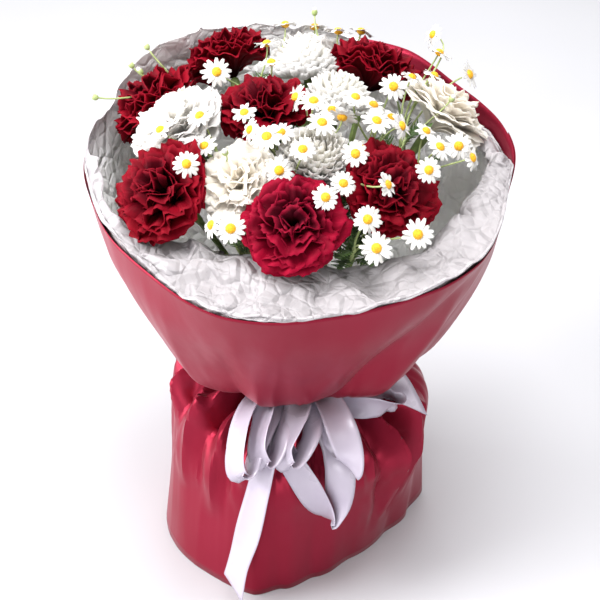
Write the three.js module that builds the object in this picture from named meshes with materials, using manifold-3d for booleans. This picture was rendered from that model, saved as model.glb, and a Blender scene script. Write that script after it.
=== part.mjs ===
// A hand-tied bunch of red and white carnations, white chrysanthemums and chamomile. The stems are bound
// at a narrow waist, with a lining of tissue and two sheets of satin paper that flare out above the tie as
// a collar and below it as a skirt, on which the bunch stands. A satin ribbon is knotted round the waist.
// Millimetres, +Z up, front towards -Y. Sizes and places are given from the foot of the middle stem. At the
// end the origin is put under the middle of the outline, on the surface that the bunch stands on.
import * as THREE from 'three';
import { mergeVertices } from 'three/addons/utils/BufferGeometryUtils.js';
import Module from 'manifold-3d';

const wasm = await Module();
wasm.setup();

// ---------------------------------------------------------------- driving sizes

const RIM_HEIGHT = 345; // top edge of the paper collar, above the middle of the bunch
const RIM_SLOPE = 0.176; // how much higher the rim stands for each mm towards the back
const NECK_TOP = 173; // the paper is gathered between these two heights
const NECK_BOTTOM = 155;
const NECK_RADIUS = 26;
const CREASES = 28; // creases of the paper round the full circle
const COLUMN_ANGLE = 360 / CREASES; // degrees from one to the next
const PLY = 0.7; // thickness of a sheet as modelled
const PLY_STEP = 1.4; // distance from one sheet to the next
const BLOOM_FOCUS = new THREE.Vector3(0, 0, 225); // the blooms face away from this point
const SLOT_PITCH = 5.2; // distance between neighbouring places for stems, before they are drawn closer
const CLEARANCE = 0.35; // left between pieces that touch
const ROOM = 0.6; // left round a stalk that passes through the petals of a bloom

// Radius of the rim and of the hem by plan angle, in degrees from +X. The front is at 270.
const RIM_RADII = [
  [8, 166], [38, 158], [62, 167], [100, 165], [140, 163], [172, 166],
  [200, 158], [222, 155], [252, 163], [288, 155], [322, 164], [348, 158],
];
const HEM_RADII = [
  [13, 110], [45, 112], [80, 113], [120, 112], [160, 113], [198, 117],
  [233, 114], [250, 116], [262, 103], [278, 89], [303, 78], [332, 79], [354, 92],
];

// By plan angle too: how much the rim of the paper is raised, how far the tissue is folded in from the rim,
// and how high its edge then stands over the rim. Its corner at the back left stands up.
const RIM_LIFTS = [[0, 3], [20, 7], [50, 7], [70, 5], [92, 0], [340, 0]];
const TISSUE_FOLDS = [
  [12, 9], [100, 2], [172, 2], [200, 4], [214, 8], [232, 40], [300, 45], [322, 32], [346, 16],
];
const TISSUE_RISES = [
  [8, 0], [30, -16], [62, -16], [86, 4], [104, 9], [132, 28], [160, 9], [200, 4], [240, -3], [300, -3],
  [340, 2],
];

// Each bloom: name, kind, colour, middle of the bloom, radius.
const BLOOMS = [
  ['carnation_red_back_left', 'carnation', 'red', [-58, 114, 380], 34],
  ['carnation_red_far_left', 'carnation', 'red', [-114, 63, 363], 38],
  ['carnation_red_back_right', 'carnation', 'red', [57, 100, 375], 37],
  ['carnation_red_middle', 'carnation', 'red', [-28, 10, 389], 36],
  ['carnation_red_front_left', 'carnation', 'red', [-98, -57, 357], 41],
  ['carnation_red_front', 'carnation', 'red', [-4, -96, 355], 38],
  ['carnation_red_front_right', 'carnation', 'red', [63, -61, 362], 37],
  ['carnation_white_left', 'carnation', 'white', [-90, 4, 377], 37],
  ['carnation_cream_front', 'carnation', 'cream', [-44, -58, 368], 29],
  ['carnation_cream_right', 'carnation', 'cream', [111, 47, 367], 36],
  ['carnation_white_back', 'carnation', 'white', [8, 122, 381], 25],
  ['chrysanthemum_back', 'chrysanthemum', 'white', [2, 82, 390], 29],
  ['chrysanthemum_middle', 'chrysanthemum', 'white', [29, 30, 390], 27],
  ['chrysanthemum_front', 'chrysanthemum', 'white', [11, -42, 378], 30],
];

// Each chamomile spray: name, the point where its stalks part, and its heads as place and facing.
const SPRAYS = [
  ['chamomile_far_left', [-92, 92, 352], [
    [[-160, 44, 384], 'out'], [[-133, 72, 398], 'bud'], [[-122, 92, 404], 'bud'], [[-127, 80, 388], 'bud'],
  ]],
  ['chamomile_back_left', [-38, 62, 370], [
    [[-64, 40, 408], 'front'], [[-26, 78, 413], 'up'], [[-22, 42, 415], 'up'], [[-12, 128, 405], 'up'],
  ]],
  ['chamomile_left', [-62, -24, 362], [
    [[-91, 38, 390], 'up'], [[-74, -22, 404], 'up'], [[-103, -29, 396], 'up'],
  ]],
  ['chamomile_left_front', [-70, -34, 356], [
    [[-70, -44, 391], 'up'], [[-82, -68, 390], 'front'], [[-54, -65, 398], 'bud'],
  ]],
  ['chamomile_middle_left', [-16, -26, 368], [
    [[-41, -23, 407], 'up'], [[-36, -43, 404], 'left'], [[-24, -60, 408], 'up'], [[-14, -40, 400], 'up'],
  ]],
  ['chamomile_back', [32, 98, 372], [
    [[12, 146, 394], 'up'], [[31, 122, 402], 'up'], [[50, 136, 395], 'up'], [[12, 144, 409], 'bud'],
  ]],
  ['chamomile_middle', [6, -8, 374], [
    [[10, -25, 418], 'up'], [[-3, -8, 412], 'left'], [[16, -45, 411], 'up'], [[24, -10, 402], 'up'],
    [[31, -30, 407], 'back'],
  ]],
  ['chamomile_right', [60, 0, 354], [
    [[41, -12, 414], 'up'], [[55, -2, 402], 'up'], [[56, -35, 407], 'up'], [[69, 4, 388], 'up'],
    [[75, -23, 396], 'right'], [[71, 22, 405], 'front'],
  ]],
  ['chamomile_back_right', [82, 20, 362], [
    [[107, 110, 405], 'left'], [[111, 94, 397], 'up'], [[106, 72, 388], 'up'], [[86, 42, 402], 'up'],
    [[134, 78, 386], 'right'], [[116, 20, 396], 'bud'],
  ]],
  ['chamomile_far_right', [88, -26, 354], [
    [[94, -17, 388], 'up'], [[103, -37, 386], 'up'], [[119, -18, 376], 'front'], [[127, -39, 378], 'right'],
    [[93, -70, 386], 'front'],
  ]],
  ['chamomile_front_middle', [-12, -72, 350], [
    [[2, -68, 402], 'up'], [[-15, -74, 388], 'front'],
  ]],
  ['chamomile_front', [28, -76, 350], [
    [[18, -104, 384], 'front'], [[31, -84, 383], 'up'],
  ]],
  ['chamomile_middle_right', [40, -36, 358], [
    [[46, -40, 386], 'up'], [[40, -62, 395], 'front'], [[62, -92, 387], 'right'],
  ]],
  ['chamomile_front_left', [-48, -90, 338], [
    [[-49, -117, 366], 'front'], [[-63, -103, 360], 'left'],
  ]],
  ['chamomile_front_right', [40, -96, 334], [
    [[48, -108, 368], 'front'], [[54, -124, 354], 'front'], [[84, -109, 356], 'front'],
  ]],
];

// The blooms whose stems show a leaf.
const LEAFY = [
  'carnation_red_back_left', 'carnation_white_back', 'carnation_red_middle', 'carnation_red_front_right',
  'carnation_cream_right', 'carnation_red_front', 'carnation_red_front_left', 'carnation_cream_front',
];

const HEAD_RADIUS = 11;
const BUD_RADIUS = 3.2;
const STALK_RADIUS = 0.8;
const STEM_RADIUS = 2.3; // of its corners
const SPRAY_STEM_RADIUS = 1.9; // of its corners

// Which way a chamomile head faces. 'up' and 'bud' follow the dome of the bunch, and 'out' is a bud whose
// stalk leans out over the rim.
const HEAD_FACINGS = {
  front: new THREE.Vector3(0.1, -0.75, 0.65),
  back: new THREE.Vector3(0.1, 0.8, 0.45),
  left: new THREE.Vector3(-0.8, -0.3, 0.5),
  right: new THREE.Vector3(0.8, -0.3, 0.5),
};

const FINISHES = {
  paper: { color: 0xa54456, roughness: 0.38, metalness: 0.15 },
  tissue: { color: 0xe9e6e7, roughness: 0.7, metalness: 0 },
  ribbon: { color: 0xe6dfe9, roughness: 0.3, metalness: 0 },
  twine: { color: 0xb99a6b, roughness: 0.9, metalness: 0 },
  red: { color: 0x7d0a1e, roughness: 0.75, metalness: 0 },
  white: { color: 0xf6f2ee, roughness: 0.7, metalness: 0 },
  cream: { color: 0xefe4d3, roughness: 0.7, metalness: 0 },
  stem: { color: 0x5d7443, roughness: 0.65, metalness: 0 },
  chamomile: { color: 0xf3efe0, roughness: 0.7, metalness: 0 },
};

// ---------------------------------------------------------------- small helpers

const UP = new THREE.Vector3(0, 0, 1);
const radians = THREE.MathUtils.degToRad;
const mix = THREE.MathUtils.lerp;

// A seeded source of numbers from 0 to 1, the same on every run.
function seededRandom(seed) {
  let state = seed;
  return () => {
    state = (state + 0x6d2b79f5) | 0;
    let t = Math.imul(state ^ (state >>> 15), 1 | state);
    t = (t + Math.imul(t ^ (t >>> 7), 61 | t)) ^ t;
    return ((t ^ (t >>> 14)) >>> 0) / 4294967296;
  };
}

// A value from a list of [angle, value], eased round the full circle.
function roundValue(list, degrees) {
  const angle = ((degrees % 360) + 360) % 360;
  let after = list.findIndex(([a]) => a > angle);
  if (after < 0) after = 0;
  const before = (after + list.length - 1) % list.length;
  const from = list[before][0];
  const span = (list[after][0] - from + 360) % 360;
  const share = ((angle - from + 360) % 360) / span;
  return mix(list[before][1], list[after][1], share * share * (3 - 2 * share));
}

function polar(radius, degrees, height) {
  return new THREE.Vector3(
    radius * Math.cos(radians(degrees)),
    radius * Math.sin(radians(degrees)),
    height,
  );
}

function toSolid(geometry) {
  const bare = geometry.clone();
  bare.deleteAttribute('normal');
  bare.deleteAttribute('uv');
  const merged = mergeVertices(bare, 1e-4);
  return new wasm.Manifold(new wasm.Mesh({
    numProp: 3,
    vertProperties: new Float32Array(merged.attributes.position.array),
    triVerts: new Uint32Array(merged.index.array),
  }));
}

function toGeometry(solid) {
  const mesh = solid.getMesh();
  const geometry = new THREE.BufferGeometry();
  geometry.setAttribute('position', new THREE.BufferAttribute(mesh.vertProperties, 3));
  geometry.setIndex(new THREE.BufferAttribute(mesh.triVerts, 1));
  return geometry;
}

// The largest body of a solid, without the scraps that a cut has left loose.
function withoutScraps(solid) {
  const bodies = solid.decompose();
  return bodies.reduce((best, body) => (body.volume() > best.volume() ? body : best));
}

function fuse(solids) {
  return solids.reduce((whole, solid) => whole.add(solid));
}

const pieces = [];

function addPiece(name, solid, finish) {
  const mesh = new THREE.Mesh(toGeometry(solid), new THREE.MeshStandardMaterial(FINISHES[finish]));
  mesh.name = name;
  pieces.push(mesh);
}

// A thin closed body on a grid of points. Its inner face lies at the distance offset(row) from the grid,
// square to the columns and rows, and its outer face beyond that by the thickness. Both are split into
// triangles alike. The point function answers for so many columns past the ends as margin says.
function slab({ columns, rows, point, offset, thickness, margin = 0 }) {
  const across = columns + 1;
  const faces = [[], []];
  for (let j = 0; j <= rows; j += 1) {
    for (let i = 0; i < across; i += 1) {
      const here = point(i, j);
      const last = Math.min(i + 1, columns + margin);
      const along = point(last, j).sub(point(Math.max(i - 1, -margin), j)).normalize();
      const next = j < rows ? point(i, j + 1).sub(here).normalize() : null;
      const past = j > 0 ? here.clone().sub(point(i, j - 1)).normalize() : null;
      const onward = (next ?? past).clone().add(past ?? next).normalize();
      const normal = along.clone().cross(onward).normalize();
      const flat = along.clone().cross(next ?? past).normalize();
      const miter = 1 / Math.max(0.65, normal.dot(flat));
      faces[0].push(here.clone().addScaledVector(normal, offset(j) * miter));
      faces[1].push(here.clone().addScaledVector(normal, (offset(j) + thickness) * miter));
    }
  }
  const half = faces[0].length;
  const id = (i, j, side) => side * half + j * across + i;
  const index = [];
  const quad = (a, b, c, d) => index.push(a, b, c, a, c, d);
  for (let j = 0; j < rows; j += 1) {
    for (let i = 0; i < columns; i += 1) {
      quad(id(i, j, 1), id(i + 1, j, 1), id(i + 1, j + 1, 1), id(i, j + 1, 1));
      index.push(id(i, j, 0), id(i + 1, j + 1, 0), id(i + 1, j, 0));
      index.push(id(i, j, 0), id(i, j + 1, 0), id(i + 1, j + 1, 0));
    }
  }
  for (let i = 0; i < columns; i += 1) {
    quad(id(i, 0, 0), id(i + 1, 0, 0), id(i + 1, 0, 1), id(i, 0, 1));
    quad(id(i + 1, rows, 0), id(i, rows, 0), id(i, rows, 1), id(i + 1, rows, 1));
  }
  for (let j = 0; j < rows; j += 1) {
    quad(id(0, j + 1, 0), id(0, j, 0), id(0, j, 1), id(0, j + 1, 1));
    quad(id(columns, j, 0), id(columns, j + 1, 0), id(columns, j + 1, 1), id(columns, j, 1));
  }
  const geometry = new THREE.BufferGeometry();
  geometry.setAttribute('position', new THREE.Float32BufferAttribute(
    faces.flat().flatMap((p) => [p.x, p.y, p.z]),
    3,
  ));
  geometry.setIndex(index);
  return toSolid(geometry);
}

// A curve whose steps fall on its own points.
class SteppedCurve extends THREE.CatmullRomCurve3 {
  getUtoTmapping(share) {
    return share;
  }
}

// A rod of few sides along a curve through the points, with so many steps from one point to the next.
function rod(points, radius, sides, steps) {
  const section = new THREE.Shape(
    Array.from({ length: sides }, (_, k) => new THREE.Vector2(radius, 0)
      .rotateAround(new THREE.Vector2(), (k * 2 * Math.PI) / sides)),
  );
  return toSolid(new THREE.ExtrudeGeometry(section, {
    steps: steps * (points.length - 1),
    extrudePath: new SteppedCurve(points, false, 'centripetal'),
  }));
}

// ---------------------------------------------------------------- paper and tissue

// One crease line of the paper, from the hem up to the rim, as points. The paper is pleated where it is
// gathered into the neck, and the pleats run out over the collar and the skirt.
function paperLine(column) {
  const degrees = column * COLUMN_ANGLE;
  const front = Math.max(0, -Math.sin(radians(degrees)));
  const left = Math.max(0, -Math.cos(radians(degrees)));
  const pleat = column % 2 === 0 ? 1 : -1;
  const swell = Math.cos(radians(degrees * 7));
  const hem = roundValue(HEM_RADII, degrees);
  const rim = roundValue(RIM_RADII, degrees);
  const tilt = RIM_SLOPE * rim * Math.sin(radians(degrees));
  const rimHeight = RIM_HEIGHT + tilt + roundValue(RIM_LIFTS, degrees);
  const rise = (share) => mix(184, rimHeight, share);
  return [
    polar(hem, degrees, -3),
    polar(mix(104, hem, 0.45) + 1.5 * swell, degrees, 70),
    polar(104 + 2 * swell, degrees, 128 + 28 * left - 22 * front),
    polar(87, degrees, 152 + 17 * left - 22 * front + 1.5 * pleat),
    polar(54, degrees, 158 + 8 * left - 12 * front + 2 * pleat),
    polar(NECK_RADIUS + 0.8 * pleat, degrees, NECK_BOTTOM),
    polar(NECK_RADIUS + 0.8 * pleat, degrees, NECK_TOP),
    polar(66, degrees, 179 + 2 * pleat),
    polar(99 - 4 * front, degrees, 190 + 1.2 * pleat),
    polar(mix(131, 117, front), degrees, rise(0.35)),
    polar(mix(151, 141, front), degrees, rise(0.68)),
    polar(rim, degrees, rimHeight),
  ];
}

const NECK_ROW = 5; // the row of a paper line at the bottom of the neck
const SHEET_COLUMNS = CREASES / 2 + 2; // each sheet reaches a little more than half way round
const FRONT_SHEET_START = CREASES / 2 - 1; // column where the front sheets begin, at the left
const BACK_SHEET_START = -1;

// The space under the surface that the bunch stands on, which trims hems and stems flat.
const GROUND = toSolid(new THREE.BoxGeometry(600, 600, 60).translate(0, 0, -30));

function paperSheet(start, ply) {
  const lines = Array.from({ length: SHEET_COLUMNS + 3 }, (_, i) => paperLine(start + i - 1));
  return slab({
    columns: SHEET_COLUMNS,
    rows: lines[0].length - 1,
    margin: 1,
    point: (i, j) => lines[i + 1][j].clone(),
    offset: () => ply * PLY_STEP,
    thickness: PLY,
  }).subtract(GROUND);
}

// The tissue follows the collar on its inside, crumpled a little. In front it is folded in over the rim
// towards the blooms, and at the back right it ends below the rim. A crease is the same in both sheets
// where they overlap.
function tissueLine(column) {
  const degrees = column * COLUMN_ANGLE;
  const fold = roundValue(TISSUE_FOLDS, degrees);
  const rise = roundValue(TISSUE_RISES, degrees);
  const line = paperLine(column).slice(NECK_ROW);
  const random = seededRandom(500 + ((column + CREASES) % CREASES));
  const crinkle = () => 2.4 * (random() - 0.5);
  for (let j = 2; j < line.length; j += 1) {
    line[j].add(polar(crinkle() - 1.2, degrees, crinkle() * 0.4));
  }
  const rim = line[line.length - 1];
  const sunk = Math.min(0, rise);
  rim.add(polar(0.3 * sunk, degrees, sunk));
  const reach = Math.hypot(rim.x, rim.y);
  const edge = Math.max(0, rise);
  const upright = 1 - Math.min(1, fold / 30);
  line.push(polar(reach - 0.12 * fold, degrees, rim.z + 4 + 0.35 * edge + crinkle() / 2));
  line.push(polar(reach - 0.5 * fold, degrees, rim.z + 4 + 0.6 * edge + 4 * upright + crinkle() / 2));
  line.push(polar(reach - fold, degrees, rim.z + 3 + edge + 6 * upright + crinkle() / 2));
  return line;
}

function tissueSheet(start, ply) {
  const lines = Array.from({ length: SHEET_COLUMNS + 3 }, (_, i) => tissueLine(start + i - 1));
  return slab({
    columns: SHEET_COLUMNS,
    rows: lines[0].length - 1,
    margin: 1,
    point: (i, j) => lines[i + 1][j].clone(),
    offset: (j) => (j < 2 ? -0.6 - ply * PLY_STEP : -(ply + 1) * PLY_STEP * (j < 7 ? 2.2 : 1.3)) - PLY,
    thickness: PLY,
  });
}

// ---------------------------------------------------------------- blooms

const blooms = BLOOMS.map(([name, kind, colour, centre, radius], index) => {
  const middle = new THREE.Vector3(...centre);
  const axis = middle.clone().sub(BLOOM_FOCUS).normalize();
  const turn = new THREE.Quaternion().setFromUnitVectors(UP, axis);
  return { name, kind, colour, radius, middle, axis, turn, random: seededRandom(100 + index) };
});

const WALL_RADIUS = 147; // the tissue keeps the blooms within this distance from the middle at the rim
const WALL_SLANT = 0.36; // and draws in by this much for each mm below the rim

// Neighbouring blooms press against each other: towards a plane between two of them the petals bunch up
// and never reach it. The tissue holds them in the same way.
for (const bloom of blooms) {
  bloom.limits = blooms.filter((other) => other !== bloom).map((other) => {
    const towards = other.middle.clone().sub(bloom.middle);
    const distance = towards.length();
    const share = bloom.radius / (bloom.radius + other.radius);
    return { towards: towards.normalize(), reach: distance * share - 1.1 };
  });
  const outward = bloom.middle.clone().setZ(0).normalize();
  const wall = outward.clone().multiplyScalar(WALL_RADIUS);
  wall.z = RIM_HEIGHT + RIM_SLOPE * wall.y;
  const slanted = outward.clone().addScaledVector(UP, -WALL_SLANT).normalize();
  bloom.limits.push({ towards: slanted, reach: wall.sub(bloom.middle).dot(slanted) });
}

function pressIn(bloom, point) {
  for (const { towards, reach } of bloom.limits) {
    const far = point.clone().sub(bloom.middle).dot(towards);
    const free = reach * 0.72;
    if (far > free) {
      const pressed = free + (reach - free) * Math.tanh((far - free) / (reach - free));
      point.addScaledVector(towards, pressed - far);
    }
  }
  return point;
}

function placeInBloom(bloom, radius, degrees, height) {
  const point = polar(radius, degrees, height).applyQuaternion(bloom.turn).add(bloom.middle);
  return pressIn(bloom, point);
}

const THROAT = 0.42; // depth of a bloom's throat under its middle, as a share of its radius
const THROAT_RADIUS = 4.5;
const PETAL_THICKNESS = 1;

// A bloom is one closed body of petal layers: its outline runs out along the underside of a layer, over
// the petal tips and back into the groove above it. Every third column of a layer is a notch between
// two petals, and the tips wave up and down.
function layeredBloom(bloom, columns, layers, apex) {
  const r = bloom.radius;
  const angle = (i) => (i * 360) / columns;
  const circle = (radius, height) => Array.from({ length: columns }, (_, i) => (
    placeInBloom(bloom, radius, angle(i), height)));
  const rings = [circle(THROAT_RADIUS, -THROAT * r)];
  layers.forEach(({ reach, lift, notch, wave, groove }, k) => {
    const slope = Math.atan2(lift + THROAT, reach);
    const under = [];
    const over = [];
    for (let i = 0; i < columns; i += 1) {
      const isNotch = (i + k) % 3 === 0;
      const radius = reach * r * (isNotch ? notch : 1) * (1 + 0.1 * (bloom.random() - 0.5));
      const height = lift * r + wave * (bloom.random() - 0.5) + (isNotch ? -wave / 3 : wave / 3);
      const tip = placeInBloom(bloom, radius, angle(i), height);
      const across = polar(-Math.sin(slope), angle(i), Math.cos(slope)).applyQuaternion(bloom.turn);
      under.push(tip.clone().addScaledVector(across, -PETAL_THICKNESS / 2));
      over.push(tip.clone().addScaledVector(across, PETAL_THICKNESS / 2));
    }
    rings.push(under, over);
    if (groove) rings.push(circle(groove[0] * r, groove[1] * r));
  });
  const bottom = bloom.middle.clone().addScaledVector(bloom.axis, -THROAT * r);
  const top = bloom.middle.clone().addScaledVector(bloom.axis, apex * r);
  const index = [];
  const id = (i, j) => j * columns + (i % columns);
  const poles = [rings.length * columns, rings.length * columns + 1];
  for (let i = 0; i < columns; i += 1) {
    index.push(poles[0], id(i + 1, 0), id(i, 0));
    index.push(poles[1], id(i, rings.length - 1), id(i + 1, rings.length - 1));
    for (let j = 0; j < rings.length - 1; j += 1) {
      index.push(id(i, j), id(i + 1, j), id(i + 1, j + 1), id(i, j), id(i + 1, j + 1), id(i, j + 1));
    }
  }
  const geometry = new THREE.BufferGeometry();
  geometry.setAttribute('position', new THREE.Float32BufferAttribute(
    [...rings.flat(), bottom, top].flatMap((p) => [p.x, p.y, p.z]),
    3,
  ));
  geometry.setIndex(index);
  return toSolid(geometry);
}

// Sizes here are shares of the bloom's radius, but for wave, in mm.
const carnationBloom = (bloom) => layeredBloom(bloom, 14, [
  { reach: 1, lift: -0.22, notch: 0.84, wave: 5, groove: [0.36, -0.12] },
  { reach: 0.88, lift: 0.14, notch: 0.86, wave: 5, groove: [0.32, 0.06] },
  { reach: 0.66, lift: 0.42, notch: 0.84, wave: 5, groove: [0.22, 0.22] },
  { reach: 0.38, lift: 0.64, notch: 0.8, wave: 4 },
], 0.42);

const chrysanthemumBloom = (bloom) => layeredBloom(bloom, 16, [
  { reach: 0.98, lift: -0.16, notch: 0.84, wave: 2, groove: [0.6, -0.08] },
  { reach: 0.96, lift: 0.22, notch: 0.84, wave: 2, groove: [0.56, 0.22] },
  { reach: 0.74, lift: 0.58, notch: 0.82, wave: 2, groove: [0.42, 0.5] },
  { reach: 0.4, lift: 0.82, notch: 0.78, wave: 2 },
], 0.7);

// ---------------------------------------------------------------- stems

// Places for stems in the tie: one in the middle and rings of 6, 12, 18 and 24 round it.
const slots = [new THREE.Vector2(0, 0)];
for (let ring = 1; ring <= 4; ring += 1) {
  for (let side = 0; side < 6; side += 1) {
    const from = new THREE.Vector2(ring * SLOT_PITCH, 0).rotateAround(slots[0], radians(side * 60));
    const to = new THREE.Vector2(ring * SLOT_PITCH, 0).rotateAround(slots[0], radians(side * 60 + 60));
    for (let step = 0; step < ring; step += 1) {
      slots.push(from.clone().lerp(to, step / ring));
    }
  }
}

// The free places in the tie, those first that suit a stem coming down from this point best.
const freeSlots = slots.slice();
function openSlots(point, rings) {
  const spread = 8.2; // how much wider the stems stand at the blooms than in the tie
  const wanted = new THREE.Vector2(point.x, point.y).divideScalar(spread);
  return freeSlots.filter((slot) => slot.length() <= rings * SLOT_PITCH + 0.1)
    .sort((a, b) => a.distanceTo(wanted) - b.distanceTo(wanted));
}

// Binds a stem in the first of the free places where it can be bent clear of what is there, draws it
// inwards until it touches, and answers with its place and bow. make answers with the stem for both.
function bindStem(make, point, rings, random, others, petals) {
  for (const place of openSlots(point, rings)) {
    const bow = bentClear((trial) => make(place, trial, 0), random, 8, others, petals);
    if (bow) {
      freeSlots.splice(freeSlots.indexOf(place), 1);
      let slot = place;
      for (let share = 0.98; share > 0.3; share -= 0.02) {
        const closer = place.clone().multiplyScalar(share);
        if (!isClear(make(closer, bow, 0), others)) break;
        slot = closer;
      }
      return { slot, bow };
    }
  }
  throw new Error('no room for a stem');
}

const FOOT_SPREAD = 3; // the stems stand this many times wider on the ground than in the tie
const FOOT_TWIST = 24; // degrees by which the bundle is turned below the tie

// The way of a stem through the tie and down to its cut end, below the ground.
function lowerStem(slot) {
  const spread = (times, turn) => slot.clone().multiplyScalar(times)
    .rotateAround(new THREE.Vector2(), radians(turn));
  const half = spread(1.6, 0.3 * FOOT_TWIST);
  const foot = spread(FOOT_SPREAD, FOOT_TWIST);
  return [
    new THREE.Vector3(slot.x, slot.y, NECK_TOP + 2),
    new THREE.Vector3(slot.x, slot.y, NECK_BOTTOM),
    new THREE.Vector3(half.x, half.y, 105),
    new THREE.Vector3(foot.x, foot.y, -4),
  ];
}

function isClear(solid, others, distance = CLEARANCE) {
  return others.every((other) => solid.minGap(other, distance * 2) >= distance);
}

// Bends a piece until it is clear of the others, and of the petals too if that can be had. make answers
// with the piece for a bow, which is the distance and direction by which its middle is bent.
function bentClear(make, random, reach, others, petals = []) {
  let open = null;
  for (let attempt = 0; attempt < 50; attempt += 1) {
    const bow = new THREE.Vector3(random() - 0.5, random() - 0.5, random() - 0.5)
      .multiplyScalar(attempt === 0 ? 0 : reach + attempt);
    const piece = make(bow);
    if (isClear(piece, others)) {
      if (isClear(piece, petals)) return bow;
      open ??= bow;
    }
  }
  return open;
}

const CALYX_LENGTH = 24;

function bloomStem(bloom, slot, bow, grow) {
  const seat = -THROAT * bloom.radius - CLEARANCE;
  const profile = bloom.kind === 'carnation'
    ? [[0, 0], [5.6, 0], [4.6, -CALYX_LENGTH + 5], [2.4, -CALYX_LENGTH], [0, -CALYX_LENGTH]]
    : [[0, 0], [8, 0], [6.5, -4], [2.4, -8], [0, -8]];
  const calyx = new THREE.LatheGeometry(
    profile.slice().reverse().map(([r, h]) => new THREE.Vector2(r > 0 ? r + grow : 0, h + seat)),
    5,
  ).rotateX(Math.PI / 2).applyQuaternion(bloom.turn).translate(...bloom.middle.toArray());
  const length = bloom.kind === 'carnation' ? CALYX_LENGTH : 8;
  const onAxis = (depth) => bloom.middle.clone().addScaledVector(bloom.axis, seat - depth);
  const lower = lowerStem(slot);
  const bend = onAxis(length + 20).lerp(lower[0], 0.4).add(bow);
  const stalk = rod([onAxis(length - 2), bend, ...lower], STEM_RADIUS + grow, 4, 1);
  return toSolid(calyx).add(stalk).subtract(GROUND);
}

const LEAF_THICKNESS = 0.8;
const LEAF_WIDTH = 8;

// A narrow pointed leaf from its root to its tip, arched upwards.
function leaf(root, tip, up) {
  const rows = 3;
  const along = tip.clone().sub(root);
  const across = along.clone().cross(up).normalize();
  return slab({
    columns: 1,
    rows,
    offset: () => -LEAF_THICKNESS / 2,
    thickness: LEAF_THICKNESS,
    point: (i, j) => {
      const share = j / rows;
      const half = (LEAF_WIDTH / 2) * [0.5, 1, 0.8, 0.12][j];
      return root.clone().addScaledVector(along, share)
        .addScaledVector(up, 0.3 * along.length() * share * (1 - share))
        .addScaledVector(across, i === 0 ? -half : half);
    },
  });
}

// Lets one leaf grow from the stem of a bloom, in the first direction that has room.
function withLeaf(stem, bloom, obstacles) {
  const depth = THROAT * bloom.radius + CALYX_LENGTH + 8;
  const root = bloom.middle.clone().addScaledVector(bloom.axis, -depth);
  for (let attempt = 0; attempt < 40; attempt += 1) {
    const side = polar(1, bloom.random() * 360, 0).applyQuaternion(bloom.turn);
    const length = 34 + 14 * bloom.random();
    const lift = length * bloom.random();
    const tip = root.clone().addScaledVector(side, length).addScaledVector(bloom.axis, lift);
    const blade = leaf(root, tip, bloom.axis);
    const whole = stem.add(blade);
    if (isClear(blade, obstacles) && whole.decompose().length === 1) return whole;
  }
  return stem;
}

// ---------------------------------------------------------------- chamomile

// A head: a plate of white rays round a raised disc, with a small flat seat for the stalk under it. grow
// makes it larger all round, to cut its room out of a bloom.
function headSolid(place, facing, grow) {
  const rays = 6;
  const position = [0, 0, 2.4 + grow];
  for (let k = 0; k < 3; k += 1) {
    const seat = polar(2.6, k * 120, -1.8 - grow);
    position.push(seat.x, seat.y, seat.z);
  }
  for (let k = 0; k < rays * 2; k += 1) {
    const radius = (k % 2 === 0 ? HEAD_RADIUS : HEAD_RADIUS * 0.6) + grow;
    const angle = (k * Math.PI) / rays;
    for (const side of [1, -1]) {
      position.push(radius * Math.cos(angle), radius * Math.sin(angle), side * (0.35 + grow));
    }
  }
  const index = [1, 3, 2];
  const corner = (k, side) => 4 + (k % (rays * 2)) * 2 + side;
  for (let k = 0; k < rays * 2; k += 1) {
    const seat = 1 + (Math.floor((k + 2) / 4) % 3);
    index.push(0, corner(k, 0), corner(k + 1, 0));
    index.push(seat, corner(k + 1, 1), corner(k, 1));
    index.push(corner(k, 0), corner(k, 1), corner(k + 1, 1));
    index.push(corner(k, 0), corner(k + 1, 1), corner(k + 1, 0));
    if (k % 4 === 2) index.push(seat, corner(k, 1), 1 + (seat + 1) % 3);
  }
  const geometry = new THREE.BufferGeometry();
  geometry.setAttribute('position', new THREE.Float32BufferAttribute(position, 3));
  geometry.setIndex(index);
  geometry.applyQuaternion(new THREE.Quaternion().setFromUnitVectors(UP, facing));
  geometry.translate(place.x, place.y, place.z);
  return toSolid(geometry);
}

// A bud, with one of its flat sides towards the stalk.
function budSolid(place, facing, grow) {
  const flat = new THREE.Vector3(1, 1, 1).normalize();
  const geometry = new THREE.OctahedronGeometry(BUD_RADIUS + grow)
    .applyQuaternion(new THREE.Quaternion().setFromUnitVectors(flat, facing));
  return toSolid(geometry.translate(place.x, place.y, place.z));
}

function headFacing(place, facing) {
  const depth = facing === 'out' ? 20 : 180;
  const outward = place.clone().sub(new THREE.Vector3(0, 20, place.z - depth));
  return (HEAD_FACINGS[facing] ?? outward).clone().normalize();
}

// The stalk of one head, from its root on the stem of its spray, bowed by the amount and direction of bow.
function stalkSolid(root, place, facing, bow, grow) {
  const end = place.clone().addScaledVector(facing, -0.6);
  const under = place.clone().addScaledVector(facing, -0.3 * place.distanceTo(root));
  const middle = root.clone().lerp(under, 0.5).add(bow);
  return rod([root, middle, under, end], STALK_RADIUS + grow, 3, 1);
}

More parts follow.
